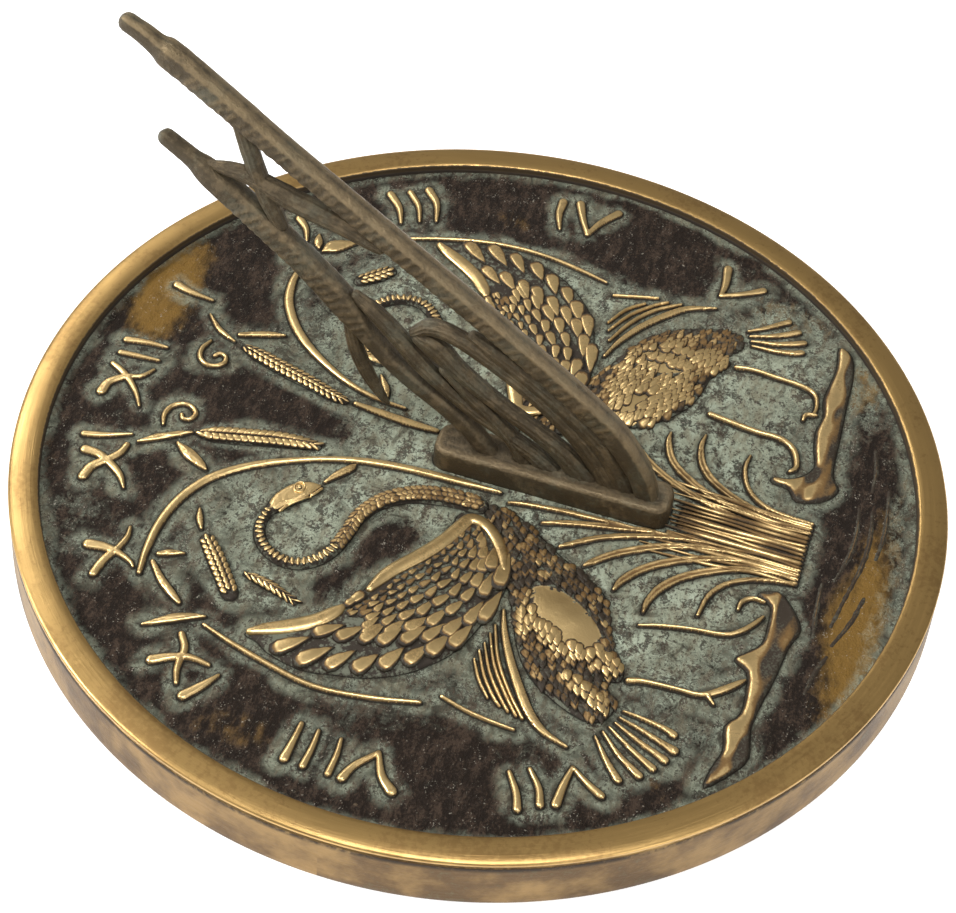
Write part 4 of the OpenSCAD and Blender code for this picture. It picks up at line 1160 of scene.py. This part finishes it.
class SUNDIAL_OT_field(Builder, bpy.types.Operator):
    """Lays the patinated surface of the field over its plate"""

    bl_idname = "sundial.field"
    bl_label = "Field"

    def build(self, settings):
        outline = np.vstack([
            subdivided(start, end, 0.4)[0] for node in CLOSE_TO for start, end in top_outlines(node)])
        near = nearest([(x, y, 0) for x, y in outline])
        cells = FIELD_CELLS
        u, v = np.meshgrid(np.linspace(-1, 1, cells + 1), np.linspace(-1, 1, cells + 1), indexing="ij")
        x = (FIELD_R - 0.02) * u * np.sqrt(1 - v * v / 2)
        y = (FIELD_R - 0.02) * v * np.sqrt(1 - u * u / 2)
        gap = np.array([near.find((a, b, 0))[2] for a, b in zip(x.ravel(), y.ravel())]).reshape(x.shape)
        soft = ripple(x.ravel(), y.ravel(), 9.0).reshape(x.shape)
        pits = ripple(x.ravel(), y.ravel(), 1.9, 5.0).reshape(x.shape)
        edge = FIELD_R - np.hypot(x, y)
        # soft swells and small pits, and a little rise against the figures and against the rim
        z = FIELD_Z + 0.12 + 0.08 * soft + 0.10 * pits + 0.14 * np.exp(-(gap / 2.0) ** 2)
        z += 0.10 * np.exp(-(edge / 1.2) ** 2)
        layers = {"near": np.minimum(gap, edge * 1.1 + 0.9),
                  "green": zone(GREEN_ZONES, x, y), "amber": zone(AMBER_ZONES, x, y)}
        net = np.dstack([x, y, z])
        normal = np.cross(np.gradient(net, axis=0), np.gradient(net, axis=1))
        normal /= np.linalg.norm(normal, axis=2, keepdims=True)
        half = cells // 2
        # each quarter has a flat bottom a little under the top of its plate
        for k, (i0, j0) in enumerate(((0, 0), (half, 0), (half, half), (0, half))):
            cut = (slice(i0, i0 + half + 1), slice(j0, j0 + half + 1))
            n = half + 1
            top = net[cut].reshape(-1, 3)
            index = np.arange(n * n).reshape(n, n)
            corners = (index[:-1, :-1], index[1:, :-1], index[1:, 1:], index[:-1, 1:])
            quads = np.column_stack([corner.ravel() for corner in corners])
            loop = np.r_[index[:-1, 0], index[-1, :-1], index[1:, -1][::-1], index[0, 1:][::-1]]
            low = top[loop]
            low[:, 2] = FIELD_Z - 0.3
            m = len(loop)
            skirt = [(int(loop[i]), n * n + i, n * n + (i + 1) % m, int(loop[(i + 1) % m])) for i in range(m)]
            faces = quads.tolist() + skirt + [tuple(n * n + i for i in reversed(range(m)))]
            name = f"field_quarter_{k + 1}"
            mesh = mesh_of(name, np.vstack([top, low]), faces, "field", {
                key: np.r_[layer[cut].ravel(), np.zeros(m)] for key, layer in layers.items()})
            normals = np.vstack([normal[cut].reshape(-1, 3), np.tile((0, 0, 1.0), (m, 1))])
            mesh.normals_split_custom_set_from_vertices([tuple(v) for v in normals])
            piece(name, mesh)


class SUNDIAL_OT_numerals(Builder, bpy.types.Operator):
    """Raises the hour numerals"""

    bl_idname = "sundial.numerals"
    bl_label = "Hour numerals"

    def build(self, settings):
        raised("numerals", ["hour_numerals"], rounded(1.3, settings.relief_edge), pitch=0.45)


def leafy(x, y, d, reach):
    """A leaf or plume: rounded, with a shallow dark groove in a ring a little way in from its outline."""
    t = np.clip(d / min(0.8, max(reach, 0.35)), 0, 1)
    wide = smooth(0.45, 0.62, d) * (1 - smooth(0.85, 0.98, d))
    return LOWEST + 1.2 * shoulder(t) - 0.25 * wide, smooth(0.04, 0.32, t) * (1 - 0.45 * wide)


def reedy(x, y, d, reach):
    """The reeds: blades with bright raised edges and a darker gutter between them."""
    t = np.clip(d / min(0.45, max(reach, 0.3)), 0, 1)
    gutter = smooth(0.45, 0.95, d)
    root = smooth(-52, -86, y / DRAW)
    streak = 0.5 + 0.5 * ripple(x * 2.2, y * 0.22, 2.6, 9.0)
    height = LOWEST + 1.15 * shoulder(t) - 0.5 * gutter
    middle = smooth(7.0, 5.4, np.abs(x / DRAW - 0.8)) * smooth(-50, -54, y / DRAW)
    wear = smooth(0.05, 0.5, t) * (1 - 0.5 * gutter) * (1.0 - 0.10 * root - 0.40 * streak)
    return height * (1 - 0.6 * middle), wear * (1 - 0.5 * middle)


def sheaf():
    """The strands that run from the reeds' root up to the gnomon's foot, spreading as they go."""
    lines, count = [], 15
    for k in range(count):
        share = k / (count - 1) * 2 - 1
        root, head = -1.0 + 10.6 * share, -0.6 + (9.4 + 3.8 * abs(share)) * share
        top = -53.2 + 6.5 * smooth(0.45, 1.0, abs(share)) + 0.6 * math.sin(k * 2.9)
        wave = 0.35 * math.sin(k * 1.9)
        points = [(root, -89.4), (root * 0.96 + wave, -80), ((root + head) / 2 - wave, -68), (head, top)]
        thick = 0.56 + 0.2 * math.sin(k * 4.1)
        halves = (thick, thick * 1.1, thick, thick * 0.45)
        path = catmull([(x * DRAW, y * DRAW, half) for (x, y), half in zip(points, halves)], 0.8)
        level = FIELD_Z + 0.75 + 0.2 * math.sin(k * 2.2)
        lines.append(capped(columns(path[:, 0], path[:, 1], level, path[:, 2], 1.2, level)))
    mesh = swept_strands("reed_sheaf", lines, "relief", Sides=10)
    x, y, z = points_of(mesh).T
    streak = ripple(x * 2.0, y * 0.18, 2.4, 6.0)
    store(mesh, "wear", smooth(FIELD_Z + 0.5, FIELD_Z + 1.3, z) * (0.57 + 0.45 * streak))
    piece("reed_sheaf", mesh)


class SUNDIAL_OT_plants(Builder, bpy.types.Operator):
    """Raises the stems, leaves, scrolls, reeds and cattails"""

    bl_idname = "sundial.plants"
    bl_label = "Reeds and cattails"

    def build(self, settings):
        edge = settings.relief_edge
        for name, node, shape, pitch in (
                ("stems", "arching_stems", rounded(1.35, edge), 0.5), ("leaf_blades", "leaves", leafy, 0.45),
                ("scroll_tendrils", "scrolls", rounded(1.35, edge), 0.4),
                ("reed_blades", "reed_fan", reedy, 0.5)):
            raised(name, [node], shape, pitch=pitch)
        sheaf()

        def husk(x, y, d, reach):
            t = np.clip(d / 1.5, 0, 1)
            return LOWEST + 0.85 * shoulder(t), smooth(0.3, 0.9, t) * 0.3

        ground = Ground(raised("cattail_cores", ["cattails"], husk, "skin"))
        items = [i for line, strips in CATTAILS for i in grained(ground, line, strips)]
        laid_scales("cattail_grains", items, Taper=0.15, Lift=0.25, Belly=0.7, Segments=10)


class SUNDIAL_OT_cranes(Builder, bpy.types.Operator):
    """Builds both cranes: bodies, necks, wings, plumes and legs"""

    bl_idname = "sundial.cranes"
    bl_label = "Cranes"

    def build(self, settings):
        for side, east in (("west", False), ("east", True)):
            wing(side, east, settings)
            body(side, east, settings)
            neck(side, east, settings)
            raised(f"{side}_plumes", [f"crane_{side}_plumes"], leafy, pitch=0.45)
            raised(f"{side}_legs", [f"crane_{side}_legs"], rounded(1.6, 0.9), pitch=0.4)


class SUNDIAL_OT_banks(Builder, bpy.types.Operator):
    """Raises the log-like banks and the ripples of the water"""

    bl_idname = "sundial.banks"
    bl_label = "Banks and water"

    def build(self, settings):
        def log(x, y, d, reach):
            t = np.clip(d / 1.5, 0, 1)
            grain = ripple(x * 0.45, y * 1.5, 4.0, 2.0)
            hollow = smooth(-0.05, 0.45, ripple(x * 0.6, y * 1.2, 6.5, 4.0))
            low = smooth(-86, -89.5, y / DRAW)
            height = LOWEST + shoulder(t) + 0.35 * (1 - np.exp(-d / 2.5)) + 0.12 * grain
            wear = smooth(0.1, 0.6, t) * (0.80 - 0.80 * hollow) * (1 - 0.65 * low) + 0.28 * grain
            return height - 0.3 * hollow * smooth(0.5, 1.6, d), np.clip(wear, 0, 1)

        for side in ("west", "east"):
            raised(f"{side}_bank", [f"bank_{side}"], log)

        def wave(x, y, d, reach):
            t = np.clip(d / 0.5, 0, 1)
            return 0.2 + 0.3 * t, smooth(0.2, 0.8, t) * 0.34

        raised("ripples", ["water_ripples"], wave, slot="patina_field", pitch=0.4, flare=0.9)


MAIN_STALK = [
    (-26.2, 6, 6), (-22.8, 15, 6.4), (-15.4, 25.8, 6.8), (-7.4, 33, 6.8), (2.6, 40.8, 6.6),
    (22.4, 55.4, 6.4), (42.7, 69.8, 6.5), (62.8, 84.2, 6.4), (77.6, 94.8, 6.4), (86, 101, 6.8),
    (96, 108.4, 7), (104.6, 114.6, 7), (108.2, 117, 5.2), (112, 119.6, 4.6), (115.6, 121.6, 4.4)]
SECOND_STALK = [
    (18, 6, 5), (25, 14.4, 5), (32, 20.2, 5), (40, 25.8, 5), (47.9, 32.6, 5), (53.8, 39.6, 5.6),
    (59.4, 46.8, 8), (65.6, 53.6, 8), (73.3, 61, 7.4), (81.3, 68, 7.4), (89.8, 75.2, 7.2),
    (96.6, 80.6, 6.2), (100.4, 83.6, 4.6), (104.6, 86.6, 4.2), (107.6, 88.6, 4)]
LEAF_STRANDS = [
    [(-20, 6, 7), (-13.4, 18.6, 7), (-5, 27.6, 6), (6, 36, 5.4), (17, 43.4, 5), (25, 48.2, 3)],
    [(-16.5, 6, 7), (-9, 17.6, 6.6), (0, 27, 5.8), (10, 35, 5.4), (20, 41.4, 5.2), (29, 46, 5),
     (36, 47.4, 4.6), (40.6, 44, 3.4)],
    [(-9, 6, 8), (-2, 13.6, 6.4), (6, 19.4, 5.2), (14, 24.2, 4.8), (22, 29.6, 5), (29, 35, 5.6),
     (35, 40.4, 7.4), (39, 42.6, 5)],
    [(8.4, 6, 5), (11.6, 13, 4.6), (18, 20.4, 4.4), (25, 26.6, 4), (32, 33.6, 3.6)],
    [(1, 6, 6), (7, 11, 5), (16, 16.4, 4), (23, 20.6, 4.4), (30, 25.8, 4.6), (38, 32.6, 5.6),
     (45, 40.4, 5.4), (51, 46.6, 4.6), (57, 51.4, 3)],
    [(58.6, 41, 3.4), (56.6, 32, 4), (53.4, 24, 3.8), (49.4, 17, 2.6), (47.4, 14.2, 1.2)],
    [(51, 70.6, 4), (61, 74.8, 6), (71, 77.6, 6.6), (80, 80.8, 6), (86, 83, 4.6), (92, 83.4, 3.6),
     (97.4, 83, 2)],
    [(77.6, 69, 4), (80.4, 76, 4.6), (83.2, 84, 4.6), (85.2, 91, 4.6), (87.2, 98.6, 4.4)]]


def side_view(points, thickness, step):
    """A strand of the gnomon, from its side view, stood up over the dial's north-south line."""
    line = catmull(points, step)
    half = line[:, 2] / 2 * SIDE
    flat = np.minimum(thickness / 2 / np.maximum(half, 0.8), 1.0)
    return columns(0.0, FOOT_MIDDLE + line[:, 0] * SIDE, FIELD_Z + line[:, 1] * RISE, half, flat, 0.0)


class SUNDIAL_OT_gnomon(Builder, bpy.types.Operator):
    """Builds the gnomon: its foot, the two bulrushes and their leaves"""

    bl_idname = "sundial.gnomon"
    bl_label = "Gnomon"

    def build(self, settings):
        thick = STALKS[1][0] - STALKS[0][0]
        for name, points, heads, strip in (
                ("main_stalk", MAIN_STALK, (30, 170), 1.0), ("second_stalk", SECOND_STALK, (54, 100), 0.4)):
            path = capped(side_view(points, thick, 0.5))
            mesh = swept_strands(name, [path], "bronze", Sides=44, Roundness=0.62, Across=(1.0, 0.0, 0.0))
            self.work(mesh, path, heads, strip)
            piece(f"gnomon_{name}", mesh, ["gnomon_stalks"] if name == "main_stalk" else ())
        paths = [capped(side_view(p, 4.6, 0.9)) for p in LEAF_STRANDS]
        mesh = swept_strands("gnomon_leaf_strands", paths, "bronze", Sides=48, Across=(1.0, 0.0, 0.0),
                             Flutes=12.0, **{"Flute Depth": 0.06})
        self.work(mesh, None, (0, 0), 0.0)
        piece("gnomon_leaf_strands", mesh)
        self.foot()

    def work(self, mesh, path, heads, strip):
        """Roughens a casting. A stalk's head gets slanting ridges, with a bright flat strip over them and
        painted shade on its top edge.
        """
        co = points_of(mesh)
        lumps = np.array([noise.noise(Vector(c) / 3.2) + 0.5 * noise.noise(Vector(c) / 1.3) for c in co])
        wear = 0.26 + 0.14 * lumps
        if path is not None:
            near = nearest([(0, y, z) for y, z in path[:, 1:3]])
            at = np.array([near.find((0, y, z))[1] for _, y, z in co])
            run = run_along(path[:, 1:3])
            way = np.gradient(path[:, 1:3], axis=0)
            way /= np.linalg.norm(way, axis=1, keepdims=True)
            off = co[:, 1:] - path[at, 1:3]
            up = (off * np.column_stack([-way[at, 1], way[at, 0]])).sum(1) / np.maximum(path[at, 3], 1.5)
            along = run[at] + (off * way[at]).sum(1)
            head = smooth(heads[0] - 6, heads[0], along) * smooth(heads[1] + 6, heads[1], along)
            phase = (along + up * 0.9 + 1.2 * lumps) / 2.7
            ridge = np.abs(np.sin(phase * math.pi)) ** 1.6 * np.clip(0.75 + 0.55 * np.roll(lumps, 7), 0.2, 1)
            across = np.abs(co[:, 0]) / np.maximum(path[at, 3] * path[at, 4], 0.8)
            face = smooth(0.45, 0.8, across)
            band = smooth(0.52, 0.66, up) * strip
            side = np.sign(co[:, 0]) * face * head
            co[:, 0] += side * 0.34 * (ridge - 1) * (1 - band)
            wear = 0.16 + 0.16 * lumps + 0.36 * face * ridge * head * (1 - band) + 0.44 * band
            # painted shade: the stalk's top-most edge, inside the bright strip, is made darker
            wear -= 0.40 * band * smooth(0.3, -0.2, across)
        co += lumps[:, None] * np.array([0.06, 0.16, 0.16])
        co[:, 2] = np.clip(co[:, 2], FIELD_Z + FOOT_HEIGHT - 3.0, STALKS[1][2])
        co[:, 0] = np.clip(co[:, 0], STALKS[0][0], STALKS[1][0])
        mesh.vertices.foreach_set("co", (co * MM).ravel())
        store(mesh, "wear", np.clip(wear, 0, 1))

    def foot(self):
        """The foot bar: a rounded bar with a bevelled top."""
        radius, bevel, steps = 4.0, 1.2, 10
        hx, hy = (FOOT[1][0] - FOOT[0][0]) / 2, FOOT_LENGTH / 2
        plan = []
        for cx, cy, start in ((1, 1, 0), (-1, 1, 90), (-1, -1, 180), (1, -1, 270)):
            for k in range(steps + 1):
                a = math.radians(start + 90 * k / steps)
                plan.append((cx * (hx - radius), cy * (hy - radius), math.cos(a), math.sin(a)))
        plan = np.array(plan)
        dense = []
        for i in range(len(plan)):
            a, b = plan[i], plan[(i + 1) % len(plan)]
            gap = np.linalg.norm((b[:2] + b[2:] * radius) - (a[:2] + a[2:] * radius))
            n = max(1, int(gap / 1.5))
            dense += [a + (b - a) * k / n for k in range(n)]
        plan = np.array(dense)
        # how far in each ring of points lies, and its height over the field
        levels = [(0.0, 0.0), (0.0, 0.8), (0.05, 3.0), (0.0, FOOT_HEIGHT - bevel - 1.3)]
        levels += [(bevel * (1 - math.cos(t)) + 0.05, FOOT_HEIGHT - (bevel + 0.9) * (1 - math.sin(t)))
                   for t in np.linspace(0.15, math.pi / 2, 7)]
        levels += [(bevel + 0.8, FOOT_HEIGHT - 0.02), (bevel + 1.7, FOOT_HEIGHT - 0.12),
                   (3 * bevel, FOOT_HEIGHT - 0.2)]
        verts, wear, n = [], [], len(plan)
        for inset, height in levels:
            loop = plan[:, :2] + plan[:, 2:] * (radius - inset)
            verts.append(columns(loop[:, 0], loop[:, 1] + FOOT_MIDDLE, FIELD_Z + height))
            # the sides are made nearly black, the top lighter and the bevel's lip lightest
            lip = height > FOOT_HEIGHT - 1.3 and inset < bevel + 1
            wear.append(np.full(n, 0.5 if lip else 0.3 if inset > bevel else 0.02))
        faces = [(i * n + j, i * n + (j + 1) % n, (i + 1) * n + (j + 1) % n, (i + 1) * n + j)
                 for i in range(len(levels) - 1) for j in range(n)]
        faces += [tuple(reversed(range(n))), tuple((len(levels) - 1) * n + j for j in range(n))]
        mesh = mesh_of("gnomon_base_bar", np.vstack(verts), faces, "bronze", {"wear": np.concatenate(wear)})
        piece("gnomon_base_bar", mesh, ["gnomon_foot"])


class SUNDIAL_OT_underside(Builder, bpy.types.Operator):
    """Finishes what is seen from below: plate, bosses, screws and washers"""

    bl_idname = "sundial.underside"
    bl_label = "Underside"

    def build(self, settings):
        for node, key in (("dial_plate", "under"), ("mounting_bosses", "under"), ("gnomon_screws", "steel"),
                          ("gnomon_washers", "steel")):
            mesh = frame["nodes"][node].data
            mesh.materials.clear()
            mesh.materials.append(finish(key))


# the camera, in metres and degrees: which way it stands from its aim, its roll, its aim, and how far off
VIEW_WAY, VIEW_ROLL = (-0.63963832, -0.16145703, 0.75152807), 4.892
VIEW_AIM, VIEW_DISTANCE = (0.00055307, 0.00131839, 0.0156), 0.59702959
LENS, SENSOR = 82.85, 36.0
DAYLIGHT, SKY_STRENGTH, FLOOR_GLOW = (1.0, 0.985, 0.96), 0.30, 0.62
SOFT_BOXES = [  # name, place, width and height in metres, watts, colour
    ("key", (-0.35, 1.25, 1.0), (0.34, 0.28), 19.0, DAYLIGHT),
    ("back", (0.75, 0.95, 1.05), (0.6, 0.4), 5.0, (1.0, 0.99, 0.97)),
    ("fill", (-0.9, -1.2, 0.9), (0.8, 0.6), 6.0, (0.97, 0.985, 1.0)),
    ("top", (-0.35, -0.1, 1.6), (0.6, 0.6), 14.0, (1, 1, 1))]


class SUNDIAL_OT_studio(Builder, bpy.types.Operator):
    """Sets the camera, the pale floor and the soft light"""

    bl_idname = "sundial.studio"
    bl_label = "Studio"

    def build(self, settings):
        scene = bpy.context.scene
        scene.view_settings.view_transform = "Standard"
        self.camera(scene)
        self.floor(scene)
        for box in SOFT_BOXES:
            self.soft_box(scene, settings, *box)
        world = bpy.data.worlds.new("Studio")
        world.use_nodes = True
        sky = world.node_tree.nodes["Background"].inputs
        sky["Color"].default_value = (*DAYLIGHT, 1)
        sky["Strength"].default_value = SKY_STRENGTH
        scene.world = world

    def camera(self, scene):
        data = bpy.data.cameras.new("Camera")
        data.lens, data.sensor_width, data.clip_end = LENS, SENSOR, 50.0
        camera = bpy.data.objects.new("Camera", data)
        scene.collection.objects.link(camera)
        back = Vector(VIEW_WAY).normalized()
        roll = Matrix.Rotation(math.radians(VIEW_ROLL), 3, "Z").to_quaternion()
        camera.rotation_mode = "QUATERNION"
        camera.rotation_quaternion = back.to_track_quat("Z", "Y") @ roll
        camera.location = Vector(VIEW_AIM) + back * VIEW_DISTANCE
        scene.camera = camera

    def floor(self, scene):
        f = Finish("Pale floor")
        dust = f.noise(f.place, 14.0, 3.0)
        f.set(Base_Color=f.blend(dust, (0.86, 0.86, 0.86), (0.90, 0.90, 0.895)), Roughness=0.9,
              Emission_Color=(1, 1, 1, 1), Emission_Strength=FLOOR_GLOW, Specular_IOR_Level=0.1)
        mesh = bpy.data.meshes.new("floor")
        mesh.from_pydata([(-4, -4, 0), (4, -4, 0), (4, 4, 0), (-4, 4, 0)], [], [(0, 1, 2, 3)])
        mesh.materials.append(f.material)
        ground = bpy.data.objects.new("floor", mesh)
        ground.location.z = -0.0002
        scene.collection.objects.link(ground)

    def soft_box(self, scene, settings, name, at, size, power, colour):
        lamp = bpy.data.lights.new(name, "AREA")
        lamp.shape, lamp.size, lamp.size_y = "RECTANGLE", size[0], size[1]
        lamp.energy, lamp.color = power * settings.light, colour
        obj = bpy.data.objects.new(name, lamp)
        obj.location = at
        obj.rotation_mode = "QUATERNION"
        obj.rotation_quaternion = Vector(at).to_track_quat("Z", "Y")
        scene.collection.objects.link(obj)


class SUNDIAL_PT_panel(bpy.types.Panel):
    """Lists the sundial's settings and pieces"""

    bl_idname = "SUNDIAL_PT_panel"
    bl_label = "Garden sundial"
    bl_space_type = "VIEW_3D"
    bl_region_type = "UI"
    bl_category = "Sundial"

    def draw(self, context):
        for name in SundialSettings.__annotations__:
            self.layout.prop(context.scene.sundial, name)
        for operator in OPERATORS:
            self.layout.operator(operator.bl_idname)


OPERATORS = [SUNDIAL_OT_studio, SUNDIAL_OT_rim, SUNDIAL_OT_field, SUNDIAL_OT_numerals, SUNDIAL_OT_plants,
             SUNDIAL_OT_cranes, SUNDIAL_OT_banks, SUNDIAL_OT_gnomon, SUNDIAL_OT_underside]
CLASSES = [SundialSettings, *OPERATORS, SUNDIAL_PT_panel]


def register():
    for cls in CLASSES:
        bpy.utils.register_class(cls)
    bpy.types.Scene.sundial = bpy.props.PointerProperty(type=SundialSettings)


def unregister():
    del bpy.types.Scene.sundial
    for cls in reversed(CLASSES):
        bpy.utils.unregister_class(cls)


def main():
    register()
    for operator in OPERATORS:
        group, name = operator.bl_idname.split(".")
        getattr(getattr(bpy.ops, group), name)()


if __name__ == "__main__":
    main()
